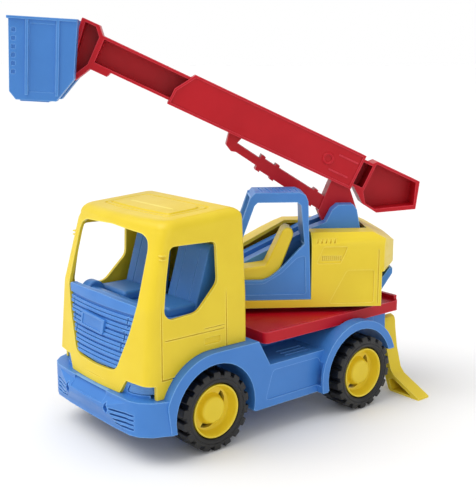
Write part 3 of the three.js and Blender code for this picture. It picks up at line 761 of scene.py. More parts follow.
# ---------------------------------------------------------------- wheels
@dataclass
class Wheels:
    """Four wheels and two axles. A wheel is drawn about X = 0 with its outer face towards +X."""

    shop: Shop
    bays: Bays
    radius: float = 30.0
    half: float = 13.0
    seat: float = 20.0
    lugs: int = 18
    lug_inner: float = 26.9

    def tyre(self) -> bpy.types.Object:
        """The tyre: a smooth carcass with two rows of staggered shoulder lugs."""
        r, h = self.radius, self.half
        side = [
            (self.seat + 0.3, h - 2.4), (self.seat + 1.2, h - 0.9), (self.seat + 2.2, h - 0.35),
            (self.seat + 3.4, h - 0.1), (self.seat + 4.3, h - 0.55), (self.seat + 5.2, h - 0.2),
            (r - 4.2, h - 0.1), (r - 3.3, h - 0.7), (r - 2.9, h - 2.0)]
        profile = [*side, *[(radius, -x) for radius, x in reversed(side)]]
        body = Bench.turned("tyre", profile, 90)
        pitch = 360.0 / self.lugs
        lug = self.lug(pitch)
        turned = []
        for side_sign in (1, -1):
            for k in range(self.lugs):
                angle = math.radians((k + (0.0 if side_sign > 0 else 0.5)) * pitch)
                change = Matrix.Rotation(angle, 4, "X") @ Matrix.Scale(side_sign, 4, (1, 0, 0))
                turned.append(Bench.copy(lug, f"lug_{side_sign}_{k}", change))
        bpy.data.objects.remove(lug)
        return Bench.join(body, Bench.gather(turned))

    def lug(self, pitch: float) -> bpy.types.Object:
        """One tread lug over the left shoulder, tapered outwards and rounded."""
        foot, head = pitch * 0.37, pitch * 0.31
        rings = []
        for radius, share, inner, outer in (
                (self.lug_inner - 2.4, foot, 0.6, self.half - 0.15),
                (self.lug_inner + 1.0, foot, 0.6, self.half + 0.0),
                (self.radius - 0.3, head, 1.2, self.half - 0.7)):
            a = math.radians(share)
            y, z = radius * math.sin(a), radius * math.cos(a)
            rings.append([Vector((inner, -y, z)), Vector((outer, -y * 0.86, z)),
                          Vector((outer, y * 0.86, z)), Vector((inner, y, z))])
        return Bench.round_edges(Bench.loft("lug", rings), 0.55, 2)

    def rim(self) -> bpy.types.Object:
        """The rim: a thin bright lip, a dish, a raised hub disc and two tapering windows."""
        h = self.half
        lip = [(self.seat, -h + 2), (self.seat, h - 1.6), (self.seat - 0.3, h - 1.1),
               (self.seat - 0.9, h - 1.0), (self.seat - 1.5, h - 1.5), (self.seat - 2.0, h - 3.0)]
        dish = [(17.2, h - 7.4), (16.2, h - 8.6), (14.2, h - 9.0), (11.9, h - 8.9)]
        hub = [(10.9, h - 8.0), (10.4, h - 6.2), (10.0, h - 4.9), (9.2, h - 4.1), (8.2, h - 3.75),
               (4.0, h - 3.75), (0.0, h - 3.75)]
        back = [(0.0, -h + 3), (6.5, -h + 3), (7.5, h - 12), (17.0, h - 12), (18.0, -h + 2)]
        body = Bench.turned("rim", [*lip, *dish, *hub, *back], 84)
        windows = [
            Bench.prism("window", self.window(start, sweep), Axis.X, -h, h)
            for start, sweep in ((50.0, -43.0), (234.0, 47.0))]
        return Bench.cut(body, *windows)

    def window(self, start: float, sweep: float) -> list[Point]:
        """A window beside the disc, wide where it starts and tapering as it follows the disc."""
        steps = 10
        inner, outer = [], []
        for k in range(steps + 1):
            angle = math.radians(start + sweep * k / steps)
            reach = 12.1 + 3.1 * math.sqrt(1 - k / steps)
            inner.append((11.6 * math.cos(angle), 11.6 * math.sin(angle)))
            outer.append((reach * math.cos(angle), reach * math.sin(angle)))
        return [*inner, *reversed(outer)]

    def build(self) -> None:
        """Makes and sets all four wheels and both axles."""
        tyre, rim = self.tyre(), self.rim()
        for end, bay in (("front", self.bays.front_wheels), ("rear", self.bays.rear_wheels)):
            body = f"{end}_wheels"
            low, high = bay.box(f"{end}_axle")
            axle = Bench.rod(f"{end}_axle_bar", Axis.X, high.z, low.x, high.x, edge=0.5)
            self.shop.deliver(axle, bay, body, Slot.STEEL, [f"{end}_axle"])
            for hand, sign in (("left", 1), ("right", -1)):
                node = f"{end}_{hand}"
                low, high = bay.box(f"{node}_tyre")
                shift = Matrix.Translation(((low.x + high.x) / 2, 0, 0))
                turn = Matrix.Rotation(0.0 if sign > 0 else math.pi, 4, "Z")
                for made, part, slot in ((tyre, "tyre", Slot.BLACK), (rim, "rim", Slot.YELLOW)):
                    piece = Bench.copy(made, f"{node}_{part}_moulding", shift @ turn)
                    self.shop.deliver(piece, bay, body, slot, [f"{node}_{part}"])
        bpy.data.objects.remove(tyre)
        bpy.data.objects.remove(rim)


# ---------------------------------------------------------------- chassis
@dataclass
class Chassis:
    """The blue chassis with bumper, headlamps, arches and skirts, and the red deck on it."""

    shop: Shop
    bay: Bay
    edge: float = 0.9
    bumper_nose: Sequence[Point] = (
        (0, -132.4), (30, -132.2), (50, -131), (57.5, -128), (64, -121.5), (70, -108))
    lamp_inset: float = 6.5
    lamp_outline: Sequence[Point] = ((38.2, 49.3), (41.6, 55.2), (59.5, 55.2), (59.5, 49.3))
    skirt_top: float = 54.0

    def plan(self, inset: float) -> list[Point]:
        """The bumper's plan outline, set in by a wall."""
        half = [(max(0.0, x - inset), y + inset) for x, y in self.bumper_nose]
        return mirrored([*half, (half[-1][0], -90.0)])

    def lamp_space(self, depth: float, grow: float) -> bpy.types.Object:
        """What a lamp recess takes away on both sides.

        Args:
            depth: how far it goes into the lamp block.
            grow: how far its outline is moved out all round.

        Returns:
            The two cutters as one object.
        """
        outline = [(x + (grow if x > 50 else -grow), z + (grow if z > 52 else -grow))
                   for x, z in self.lamp_outline]
        tool = Bench.prism("lamp_space", rounded(outline, 1.6), Axis.Y, -150, -108)
        core = Bench.prism("lamp_core", self.plan(self.lamp_inset + depth), Axis.Z, 40, 70)
        return Bench.both_sides(Bench.cut(tool, core))

    def lamp_lens(self, name: str, sign: int) -> bpy.types.Object:
        """A curved lens that fills one lamp recess to just under its rim."""
        outline = [(sign * x, z) for x, z in self.lamp_outline]
        lens = Bench.prism(name, rounded(outline, 1.4), Axis.Y, -150, -112)
        skin = Bench.prism("skin", self.plan(self.lamp_inset + 0.75), Axis.Z, 40, 70)
        core = Bench.prism("core", self.plan(self.lamp_inset + 1.6), Axis.Z, 40, 70)
        Bench.cut(Bench.common(lens, skin), core)
        return Bench.round_edges(lens, 0.25, 2)

    def bumper_cuts(self) -> list[bpy.types.Object]:
        """The bumper's slits, notches and recessed middle panel."""
        slits = []
        for k in range(4):
            z = 26.6 + 3.3 * k
            slits.append(Bench.block(
                f"slit_{k}", (33.5 - 1.2 * k, -142, z - 0.75), (53.5, -128.9, z + 0.75), 0.5))
        notch = Bench.prism(
            "notch", [(26.7, 30.6), (29.6, 35.7), (26.7, 40.8), (23.8, 35.7)], Axis.Y, -145, -134.2)
        slope = [(-129.6, 46.6), (-135.7, 38.9), (-141, 38.9), (-141, 46.6)]
        panel = Bench.prism("panel", slope, Axis.X, -22, 22)
        return [Bench.both_sides(Bench.gather(slits)), Bench.both_sides(notch), panel]

    def skirt_cuts(self) -> bpy.types.Object:
        """Round-ended grooves in the top of each skirt."""
        grooves = []
        for k in range(3):
            x = 51.0 + 5.2 * k
            outline = [*arc((x, 4.0), 1.2, 180, 360, 8), *arc((x, 27.0), 1.2, 0, 180, 8)]
            grooves.append(Bench.prism(
                f"groove_{k}", outline, Axis.Z, self.skirt_top - 0.9, self.skirt_top + 3))
        return Bench.both_sides(Bench.gather(grooves))

    def side_panels(self) -> bpy.types.Object:
        """A shallow field in each skirt's side."""
        outline = rounded([(-24, 27), (-17, 49), (30, 49), (36, 27)], 3.0)
        return Bench.both_sides(Bench.prism("field", outline, Axis.X, 69.3, 75))

    def build(self) -> None:
        """Makes the chassis, its lamps and the deck."""
        body = self.bay.from_cad("chassis", "chassis_moulding")
        Bench.round_edges(body, self.edge, 3)
        Bench.cut(body, *self.bumper_cuts(), self.lamp_space(1.5, 0.25), self.skirt_cuts(),
                  self.side_panels())
        self.shop.deliver(body, self.bay, "chassis", Slot.BLUE, ["chassis"])
        for hand, sign in (("left", 1), ("right", -1)):
            lens = self.lamp_lens(f"headlamp_lens_{hand}", sign)
            self.shop.deliver(lens, self.bay, "chassis", Slot.BLUE, material=self.shop.finishes.lens)
        self.deck()

    def deck(self) -> None:
        """Makes the red deck, with a slot through its raised rear lip."""
        low, high = self.bay.box("deck")
        deck = self.bay.from_cad("deck", "deck_moulding")
        Bench.round_edges(deck, 0.9, 3)
        slots = [
            Bench.block(f"slot_{k}", (x - 9, high.y - 6, high.z - 1.7), (x + 9, high.y + 2, high.z + 3), 0.5)
            for k, x in enumerate((-38.0, 38.0))]
        border = [
            Bench.block(
                f"border_{k}", (sign * (high.x - 3.4), low.y + 6, high.z - 4.3),
                (sign * (high.x - 2.4), high.y - 8, high.z - 2.5))
            for k, sign in enumerate((1, -1))]
        Bench.cut(deck, *slots, *border)
        self.shop.deliver(deck, self.bay, "chassis", Slot.RED, ["deck"])


# ---------------------------------------------------------------- driver's cab
@dataclass
class DriverCab:
    """The yellow cab shell with its grille, seats and dashboard."""

    shop: Shop
    bay: Bay
    wall: float = 2.6
    half: float = 63.0
    rear: float = -36.0
    front: float = -124.2
    bow: float = 0.0016
    corner: float = 9.5
    sill: float = 110.0
    lean_low: float = 0.085
    lean_high: float = 0.266
    foot: float = 47.3
    base: float = 74.3
    arch: float = 44.3
    axle: Point = (-70.0, 30.0)
    roof_front: Point = (-104.0, 168.5)
    roof_slope: float = 0.0656
    roof_edge: float = 7.5
    window: Sequence[Point] = (
        (-101.0, 152.2), (-62.0, 151.2), (-62.0, 122.0), (-81.0, 103.5), (-104.0, 102.0), (-109.0, 107.0),
        (-106.0, 128.0))
    door: Sequence[Point] = (
        (-112.2, 60.0), (-111.4, 108.0), (-108.6, 130.0), (-106.2, 148.0), (-104.2, 153.6), (-101.0, 155.4),
        (-58.5, 154.3), (-56.0, 153.2), (-55.0, 150.5), (-54.6, 60.0))
    face: Sequence[Point] = (
        (0, 60), (22, 61), (28, 63.5), (40, 90), (46.5, 111), (46, 150), (44, 156), (38, 159), (0, 161))
    badge: Sequence[Point] = ((-21.5, 84.5), (-18.5, 96.5), (12.5, 95.0), (9.0, 83.0))
    louvres: int = 6
    seat_line_depth: float = 2.4

    def lean(self, z: float) -> float:
        """How far the front leans back at a height."""
        slope = self.lean_high if z > self.sill else self.lean_low
        return slope * (z - self.sill)

    def ring(
        self, half: float, front: float, rear: float, round_front: float, round_rear: float
    ) -> list[Point]:
        """A plan outline with a bowed front and rounded corners.

        Args:
            half: half its width.
            front: the front's middle.
            rear: the rear.
            round_front: the front corners' radius.
            round_rear: the rear corners' radius.

        Returns:
            The outline, with the same number of points whatever the sizes.
        """
        reach = half - round_front
        nose = [(reach * (1 - k / 8), front + self.bow * (reach * (1 - k / 8)) ** 2) for k in range(9)]
        end = nose[0][1] + round_front
        corner = arc((reach, end), round_front, 0, -90, 8)
        back = arc((half - round_rear, rear - round_rear), round_rear, 90, 0, 5)
        sides = [(half, rear - round_rear + (end - rear + round_rear) * k / 6) for k in range(1, 6)]
        path = [(0.0, rear), *back, *sides, *corner, *nose[1:]]
        return mirrored(path)

    def tumble(self, z: float) -> float:
        """Half the width at a height: the sides lean in above the sill."""
        if z <= self.sill:
            return self.half - (z - 40.0) / 70.0
        return self.half - 1.0 - (z - self.sill) * 0.07

    def body_ring(self, z: float, inset: float) -> Ring:
        """The cab's outline at a height, set in by a wall."""
        half = self.tumble(z) - inset
        plan = self.ring(half, self.front + inset + self.lean(z), self.rear - inset,
                         self.corner - inset * 0.6, 3.0)
        return [Vector((x, y, z)) for x, y in plan]

    def roof_height(self, x: float, y: float) -> float:
        """The roof's height over a place, with its slope and crown."""
        crown = 2.4 * (1 - min(1.0, abs(x) / 52.0) ** 2)
        return self.roof_front[1] + max(0.0, y - self.roof_front[0]) * self.roof_slope + crown * 0.1

    def roof_ring(self, inset: float, drop: float) -> Ring:
        """The outline on the roof, set in from the sides and dropped below the roof's surface."""
        z = self.roof_front[1] - 4.0
        plan = self.ring(self.tumble(z) - inset, self.front + self.lean(z) + inset, self.rear - inset,
                         max(2.0, self.corner - inset * 0.35), 3.0 + inset * 0.2)
        return [Vector((x, y, self.roof_height(x, y) - drop)) for x, y in plan]

    def block(self, name: str, inset: float, low: float, panel: bool) -> bpy.types.Object:
        """The cab's outside, or with an inset its inside, as one solid."""
        heights = [low, 70.0, 90.0, self.sill - 1.5, self.sill + 1.5, 125.0, 140.0, 152.0, 158.0]
        rings = [self.body_ring(z, inset) for z in heights]
        r = self.roof_edge
        for k in range(7):
            a = math.radians(15.0 * k)
            rings.append(self.roof_ring(inset + r * (1 - math.cos(a)), inset + r * (1 - math.sin(a))))
        if panel:
            steps = ((15.6, 0.0), (16.2, 0.8), (17.0, 0.8), (17.6, 0.0), (19.6, 0.0), (20.2, 0.6),
                     (20.8, 0.6), (21.8, -0.7), (32.0, -0.8))
            rings += [self.roof_ring(inset + reach, inset + drop) for reach, drop in steps]
        return Bench.loft(name, rings)

    def shell(self) -> bpy.types.Object:
        """The cab shell with its openings, lamp corners, panel lines and handles."""
        shell = self.block("cab_moulding", 0.0, self.foot - 8, True)
        inner = self.block("inner", self.wall, self.foot - 12, False)
        Bench.cut(shell, inner)
        windscreen = Bench.prism("windscreen", rounded(mirrored(self.face), 4.0), Axis.Y, -170, -98)
        window = Bench.prism("window", rounded(self.window, 4.0), Axis.X, -80, 80)
        arch = Bench.rod("arch", Axis.X, self.arch, -80, 80, self.axle, 96)
        under = Bench.block("under", (-80, self.axle[0], 20), (80, -20, self.base))
        lip = Bench.block("lip", (-80, -170, 20), (80, self.axle[0], self.foot))
        lamp = [(32.5, 30), (32.5, 47), (39, 57.5), (80, 57.5), (80, 30)]
        lamps = Bench.both_sides(Bench.prism("lamps", lamp, Axis.Y, -150, -116.5))
        Bench.cut(shell, windscreen, window, arch, under, lip, lamps)
        with Bench.editing(shell):
            bpy.ops.mesh.select_all(action="SELECT")
            bpy.ops.mesh.remove_doubles(threshold=0.01)
            bpy.ops.mesh.dissolve_limited(angle_limit=math.radians(0.5))
        Bench.round_edges(shell, 0.7, 2, 40.0)
        ridges = [
            Bench.block(f"ridge_{k}", (56, -108.8, z), (self.tumble(z) + 0.3, -104.6, z + 1.1), 0.4)
            for k, z in enumerate((143.5, 146.3))]
        Bench.join(shell, Bench.both_sides(Bench.gather(ridges)))
        return Bench.cut(shell, *self.lines())

    def lines(self) -> list[bpy.types.Object]:
        """The shallow grooves that draw the doors, their waist lines and their handles."""
        side = self.half - 1.6
        frame = Bench.prism("frame", self.door, Axis.X, side, 80)
        inner = [(-84 + (y + 84) * 0.968, 108 + (z - 108) * 0.981) for y, z in self.door]
        Bench.cut(frame, Bench.prism("inner", inner, Axis.X, 40, 90))
        bars = [
            Bench.block("waist_rear", (side, -75, 90.2), (80, -57, 90.8)),
            Bench.block("waist", (side, -108.5, 87.6), (80, -57, 88.4)),
            Bench.block("handle", (side - 0.2, -75, 78.5), (80, -60.5, 83.5), 1.2)]
        chin = Bench.block("chin", (-30, -150, 52.2), (30, self.front - 4.5, 53.0))
        return [Bench.both_sides(tool) for tool in [frame, *bars]] + [chin]

    def face_slab(self, name: str, outer: float, inner: float, low: float, high: float) -> bpy.types.Object:
        """A slab that follows the cab's front between two depths below its surface."""
        heights = [low, self.sill, high] if low < self.sill < high else [low, high]
        slab = Bench.loft(name, [self.body_ring(z, outer) for z in heights])
        core = Bench.loft("core", [self.body_ring(z, inner) for z in
                                   [low - 5, *heights[1:-1], high + 5]])
        return Bench.cut(slab, core)

    def grille(self) -> bpy.types.Object:
        """The grille: a backing panel, a plain brow, bowed louvres and slots at its ends; the name plate is
        made apart.
        """
        outline = [(0, 60.6), (21.6, 61.6), (27.4, 64.1), (39.2, 90.2), (45.6, 111.0), (0, 112.5)]
        back = self.face_slab("grille_moulding", 2.6, 5.2, 56, 118)
        ribs = []
        pitch = (104.0 - 63.0) / self.louvres
        for k in range(self.louvres):
            z = 62.8 + pitch * k
            for part, (start, stop) in enumerate(((0.0, 2.3), (2.75, pitch - 1.7))):
                rib = self.face_slab(f"rib_{k}_{part}", 0.7 + 0.5 * part, 3.4, z + start, z + stop)
                ribs.append(Bench.round_edges(rib, 0.45, 2))
        ribs.append(Bench.round_edges(self.face_slab("brow", 0.7, 3.4, 104.4, 118), 0.6, 2))
        Bench.join(back, *ribs)
        Bench.common(back, Bench.prism("outline", rounded(mirrored(outline), 2.5), Axis.Y, -160, -100))
        slots = [
            Bench.block(f"end_slot_{k}", (x, -140, z), (x + 1.6, self.front + 5.5, z + 7.5), 0.4)
            for k, (x, z) in enumerate(((36.0, 94.0), (33.0, 84.0), (29.6, 74.5)))]
        return Bench.cut(back, Bench.both_sides(Bench.gather(slots)))

    def plate(self) -> bpy.types.Object:
        """The blank name plate on the grille, with a raised rim."""
        surface = self.front + self.lean(90.0)
        plate = Bench.prism(
            "name_plate", rounded(self.badge, 1.6), Axis.Y, surface - 0.6, surface + 3.0)
        Bench.round_edges(plate, 0.5, 3)
        middle = [sum(p[k] for p in self.badge) / 4 for k in (0, 1)]
        field = [(middle[0] + (x - middle[0]) * 0.86, middle[1] + (z - middle[1]) * 0.72)
                 for x, z in self.badge]
        recess = Bench.prism("recess", rounded(field, 1.0), Axis.Y, surface - 4, surface - 0.05)
        return Bench.cut(plate, recess)

    def seat(self, name: str) -> bpy.types.Object:
        """One tall seat on the left side: a padded-looking back with two panel lines, and a cushion."""
        side = [(-72, 98.3), (-58.5, 143), (-56, 146), (-52.5, 146), (-50, 143), (-55, 98.3)]
        back = Bench.prism(name, rounded(side, 3.0), Axis.X, 10.5, 46.5)
        Bench.round_edges(back, 2.4, 4)
        slope = (143 - 98.3) / (72 - 58.5)
        lines = []
        for k, x in enumerate((20.0, 37.0)):
            tool = Bench.prism(
                f"line_{k}", [(-73.2, 101), (-73.2 + 40 / slope, 141), (-80, 141), (-86, 101)],
                Axis.X, x - 0.5, x + 0.5)
            lines.append(tool)
        for tool in lines:
            tool.data.transform(Matrix.Translation((0, self.seat_line_depth, 0)))
        Bench.cut(back, *lines)
        cushion = Bench.block("cushion", (11, -94, 97.6), (46, -69, 105.2))
        Bench.round_edges(cushion, 2.6, 4)
        return Bench.join(back, cushion)

    def interior(self) -> bpy.types.Object:
        """The blue tub with two seats, a bench sill and a dashboard with an instrument hump."""
        low, high = self.bay.box("cab_interior")
        seats = Bench.both_sides(self.seat("seat"))
        tub = Bench.block("cab_interior_moulding", (low.x, low.y + 9, low.z), (high.x, high.y, 101.5))
        hollow = Bench.block(
            "hollow", (low.x + 2.5, low.y + 12, low.z + 3), (high.x - 2.5, high.y - 1.4, 110))
        Bench.cut(tub, hollow)
        Bench.join(tub, Bench.block("bench", (-55.2, -96, 92), (55.2, -46, 98.5), 0.6))
        dash = Bench.prism(
            "dash", rounded([(-113, 97), (-113, 105.5), (-109, 108), (-101.2, 106), (-101.2, 97)], 1.5),
            Axis.X, -44, 44)
        Bench.round_edges(dash, 0.8, 3)
        hump = Bench.rod("hump", Axis.X, 8.0, -43.5, -33, (-105.0, 103.5), 40, 1.5)
        return Bench.join(tub, dash, hump, seats)

    def build(self) -> None:
        """Makes and sets the cab's pieces."""
        self.shop.deliver(self.shell(), self.bay, "chassis", Slot.YELLOW, ["cab_shell"])
        self.shop.deliver(self.grille(), self.bay, "chassis", Slot.BLUE, ["grille"])
        self.shop.deliver(self.plate(), self.bay, "chassis", Slot.BLUE)
        self.shop.deliver(self.interior(), self.bay, "chassis", Slot.BLUE, ["cab_interior"])


# ---------------------------------------------------------------- turning upper body
@dataclass
class UpperBody:
    """The turning body: blue frame with fins and operator's cage, yellow cover and seat."""

    shop: Shop
    bay: Bay
    side: float = 45.0
    cage: tuple[float, float] = (13.0, 45.0)
    cage_top: float = 174.2
    seat_line_shift: tuple[float, float, float] = (0, 0.8, -0.4)

    def door(self) -> list[Point]:
        """The outline of the cage's doorway."""
        sweep = []
        for k in range(9):
            t = k / 8
            a = ((1 - t) ** 3, 3 * t * (1 - t) ** 2, 3 * t * t * (1 - t), t ** 3)
            sweep.append((a[0] * 12 + a[1] * 4 - a[2] * 10 - a[3] * 21,
                          a[0] * 133 + a[1] * 127 + a[2] * 106 + a[3] * 104.5))
        return [(-49, 104.5), (-27.5, 164), (-25, 166.5), (6, 166.5), (9, 164), *sweep]

    def frame(self) -> bpy.types.Object:
        """The blue frame, with a step round the doorway, roof grooves and a door field."""
        frame = self.bay.from_cad("upper_frame", "upper_frame_moulding")
        Bench.round_edges(frame, 0.9, 3)
        middle = (-14.0, 136.0)
        step = [(middle[0] + (y - middle[0]) * 1.09, middle[1] + (z - middle[1]) * 1.07)
                for y, z in self.door()]
        rim = Bench.prism("rim", step, Axis.X, self.side - 1.5, self.side + 4)
        grooves = []
        for k in range(6):
            y = -23.0 + 5.6 * k
            outline = [(self.cage[0] + 5, y), (self.cage[0] + 5, y + 1.5), (self.side - 6, y + 3.0),
                       (self.side - 6, y + 1.5)]
            grooves.append(Bench.prism(
                f"groove_{k}", outline, Axis.Z, self.cage_top - 0.7, self.cage_top + 3))
        outline = [(-44, 93), (-37, 101.5), (-20, 101.5), (-6, 110), (6, 122), (12.5, 124), (13.5, 93)]
        panel = Bench.prism("panel", rounded(outline, 2.0), Axis.X, self.side - 0.7, self.side + 4)
        notch = Bench.block("notch", (self.side - 1.6, -47.5, 94.5), (self.side + 3, -45.2, 100.5), 0.5)
        return Bench.cut(frame, rim, Bench.gather(grooves), panel, notch)

    def cover(self) -> bpy.types.Object:
        """The yellow cover, with vents, recessed fields and notches along its upper edge."""
        cover = self.bay.from_cad("upper_cover", "upper_cover_moulding")
        Bench.round_edges(cover, 1.5, 4)
        upper = Bench.prism(
            "upper", rounded([(22, 117.5), (27.5, 130.5), (46.5, 130.5), (41, 117.5)], 1.5), Axis.X,
            self.side - 0.8, self.side + 5)
        lower = Bench.prism(
            "lower", rounded([(32.6, 85), (46.5, 111.5), (68, 111.5), (68, 85)], 2.0), Axis.X,
            self.side - 0.7, self.side + 5)
        vents = [
            Bench.block(f"vent_{k}", (self.side - 1.7, 26.2 + 1.6 * k, 119.6),
                        (self.side + 5, 27.0 + 1.6 * k, 123.4))
            for k in range(10)]
        notches = [
            Bench.prism(
                f"notch_{k}",
                rounded([(y, 133.2), (y + 1.2, 137.4), (y + 2.6, 137.4), (y + 1.4, 133.2)], 0.6), Axis.X, self.side - 3.0, self.side + 5)
            for k, y in enumerate([21.8 + 3.4 * j for j in range(5)])]
        groove = Bench.block("groove", (self.side - 0.7, 71.0, 84), (self.side + 5, 71.9, 128))
        tools = [upper, lower, Bench.gather(vents), Bench.gather(notches), groove]
        return Bench.cut(cover, *[Bench.both_sides(tool) for tool in tools])

    def seat(self) -> bpy.types.Object:
        """The operator's seat, with rounded edges and a line down its back."""
        low, high = self.bay.box("operator_seat")
        seat = self.bay.from_cad("operator_seat", "operator_seat_moulding")
        Bench.round_edges(seat, 1.6, 4)
        middle = (low.x + high.x) / 2
        lines = [
            Bench.prism(
                f"line_{k}", [(-18.5, 116), (-5.6, 143.4), (-9, 145), (-24, 118)], Axis.X, x - 0.5, x + 0.5)
            for k, x in enumerate((middle - 7, middle + 7))]
        for tool in lines:
            tool.data.transform(Matrix.Translation(self.seat_line_shift))
        return Bench.cut(seat, *lines)

    def fasteners(self) -> None:
        """The washer and the cross-head screw under the deck."""
        low, high = self.bay.box("slew_washer")
        washer = Bench.rod("slew_washer_disc", Axis.Z, high.x, low.z, high.z, edge=0.5)
        Bench.cut(washer, Bench.rod("hole", Axis.Z, 2.0, low.z - 2, high.z + 2))
        self.shop.deliver(washer, self.bay, "upper", Slot.STEEL, ["slew_washer"])
        low, high = self.bay.box("slew_screw")
        head = Bench.rod("slew_screw_cross_head", Axis.Z, high.x, low.z, low.z + 2.5, edge=0.8)
        for size in ((2.2, 0.5), (0.5, 2.2)):
            Bench.cut(head, Bench.block(
                "cross", (-size[0], -size[1], low.z - 1), (size[0], size[1], low.z + 1.2)))
        Bench.join(head, Bench.rod("shank", Axis.Z, 1.3, low.z + 1, high.z, edge=0.3))
        self.shop.deliver(head, self.bay, "upper", Slot.STEEL, ["slew_screw"])

    def build(self) -> None:
        """Makes and sets the upper body's pieces."""
        self.shop.deliver(self.frame(), self.bay, "upper", Slot.BLUE, ["upper_frame"])
        self.shop.deliver(self.cover(), self.bay, "upper", Slot.YELLOW, ["upper_cover"])
        self.shop.deliver(self.seat(), self.bay, "upper", Slot.YELLOW, ["operator_seat"])
        self.fasteners()


# ---------------------------------------------------------------- boom
@dataclass
class Boom:
    """The two boom halves with strut and foot, the hinge pin, and the telescopic tray with handle."""

    shop: Shop
    bay: Bay
    face: float = 12.5
    boss: Point = (-34.6, 38.5)

    def half(self, hand: str, sign: int) -> bpy.types.Object:
        """One outer half, with a rimmed field, ring boss and two short ridges."""
        made = self.bay.from_cad(f"boom_outer_{hand}", f"boom_outer_{hand}_moulding")
        Bench.round_edges(made, 0.8, 3)
        low, high = sorted((sign * (self.face - 1.6), sign * (self.face - 0.35)))
        ridges = []
        for k, (s, n) in enumerate(((-14.0, 31.2), (-11.0, 45.0))):
            outline = [*arc((s, n), 0.6, -90, 90, 6), *arc((s - 16.0, n), 0.6, 90, 270, 6)]
            ridges.append(Bench.prism(f"ridge_{k}", outline, Axis.X, low, high))
        ring = Bench.turned("ring", self.ring_profile(), 48)
        place = Matrix.Translation((0, self.boss[0], self.boss[1]))
        ring.data.transform(place @ Matrix.Scale(sign, 4, (1, 0, 0)))
        if sign < 0:
            ring.data.flip_normals()
        return Bench.join(made, *ridges, ring)

    def ring_profile(self) -> list[Point]:
        """The boss's section: a rounded rim about a hole."""
        inner, outer, low = 2.9, 4.9, self.face - 2.2
        crown = arc(((inner + outer) / 2, self.face - 0.8), (outer - inner) / 2, 0, 180, 8)
        return [(outer, low), *crown, (inner, low)]

    def tray(self) -> bpy.types.Object:
        """The inner boom, a tray that is open to one side."""
        tray = self.bay.from_cad("boom_inner", "boom_inner_moulding", whole=False)
        return Bench.round_edges(tray, 0.6, 2)

    def pin(self) -> bpy.types.Object:
        """The hinge pin, with rounded ends."""
        low, high = self.bay.box("boom_pin")
        return Bench.rod("boom_hinge_pin", Axis.X, high.z, low.x, high.x, edge=0.6)

    def build(self) -> None:
        """Makes and sets the boom's pieces."""
        for hand, sign in (("left", 1), ("right", -1)):
            self.shop.deliver(self.half(hand, sign), self.bay, "boom", Slot.RED, [f"boom_outer_{hand}"])
        self.shop.deliver(self.pin(), self.bay, "upper", Slot.STEEL, ["boom_pin"])
        self.shop.deliver(self.tray(), self.bay, "telescope", Slot.RED, ["boom_inner"])


# ---------------------------------------------------------------- basket
@dataclass
class Basket:
    """The blue work basket and its hinge pin."""

    shop: Shop
    bay: Bay
    side: float = 25.0
    notches: int = 6

    def shell(self) -> bpy.types.Object:
        """The basket with a field between its ribs and a ladder of notches by the front edge."""
        shell = self.bay.from_cad("basket", "basket_moulding")
        Bench.round_edges(shell, 0.8, 3)
        field = Bench.block("field", (self.side - 0.5, -25.2, -30), (self.side + 3, -5.8, 20.5), 0.4)
        ladder = [
            Bench.block(f"notch_{k}", (self.side - 0.9, -38.6, 13.8 - 6.2 * k),
                        (self.side + 3, -35.6, 16.8 - 6.2 * k), 0.4)
            for k in range(self.notches)]
        tools = [Bench.both_sides(field), Bench.both_sides(Bench.gather(ladder))]
        return Bench.cut(shell, *tools)

    def build(self) -> None:
        """Makes and sets the basket's pieces."""
        self.shop.deliver(self.shell(), self.bay, "basket", Slot.BLUE, ["basket"])
        low, high = self.bay.box("basket_pin")
        pin = Bench.rod("basket_hinge_pin", Axis.X, high.z, low.x, high.x, edge=0.5)
        self.shop.deliver(pin, self.bay, "basket", Slot.STEEL, ["basket_pin"])


# ---------------------------------------------------------------- outriggers
@dataclass
class Outriggers:
    """The two yellow swing-out legs and their hinge pins."""

    shop: Shop
    bays: dict[str, Bay] = field(default_factory=dict)

    def leg(self, hand: str) -> bpy.types.Object:
        """One leg with rounded edges."""
        leg = self.bays[hand].from_cad(f"outrigger_{hand}", f"outrigger_{hand}_moulding")
        return Bench.round_edges(leg, 0.9, 3)

    def pin(self, hand: str) -> bpy.types.Object:
        """One hinge pin with a domed head at the rear."""
        low, high = self.bays[hand].box(f"outrigger_pin_{hand}")
        pin = Bench.rod(f"outrigger_hinge_pin_{hand}", Axis.Y, 2.0, low.y, high.y - 1.0, edge=0.4)
        head = Bench.rod("head", Axis.Y, high.x, high.y - 1.7, high.y, edge=0.8)
        return Bench.join(pin, head)

    def build(self) -> None:
        """Makes and sets both legs."""
        for hand, bay in self.bays.items():
            body = f"outrigger_{hand}"
            self.shop.deliver(self.leg(hand), bay, body, Slot.YELLOW, [body])
            self.shop.deliver(self.pin(hand), bay, body, Slot.STEEL, [f"outrigger_pin_{hand}"])


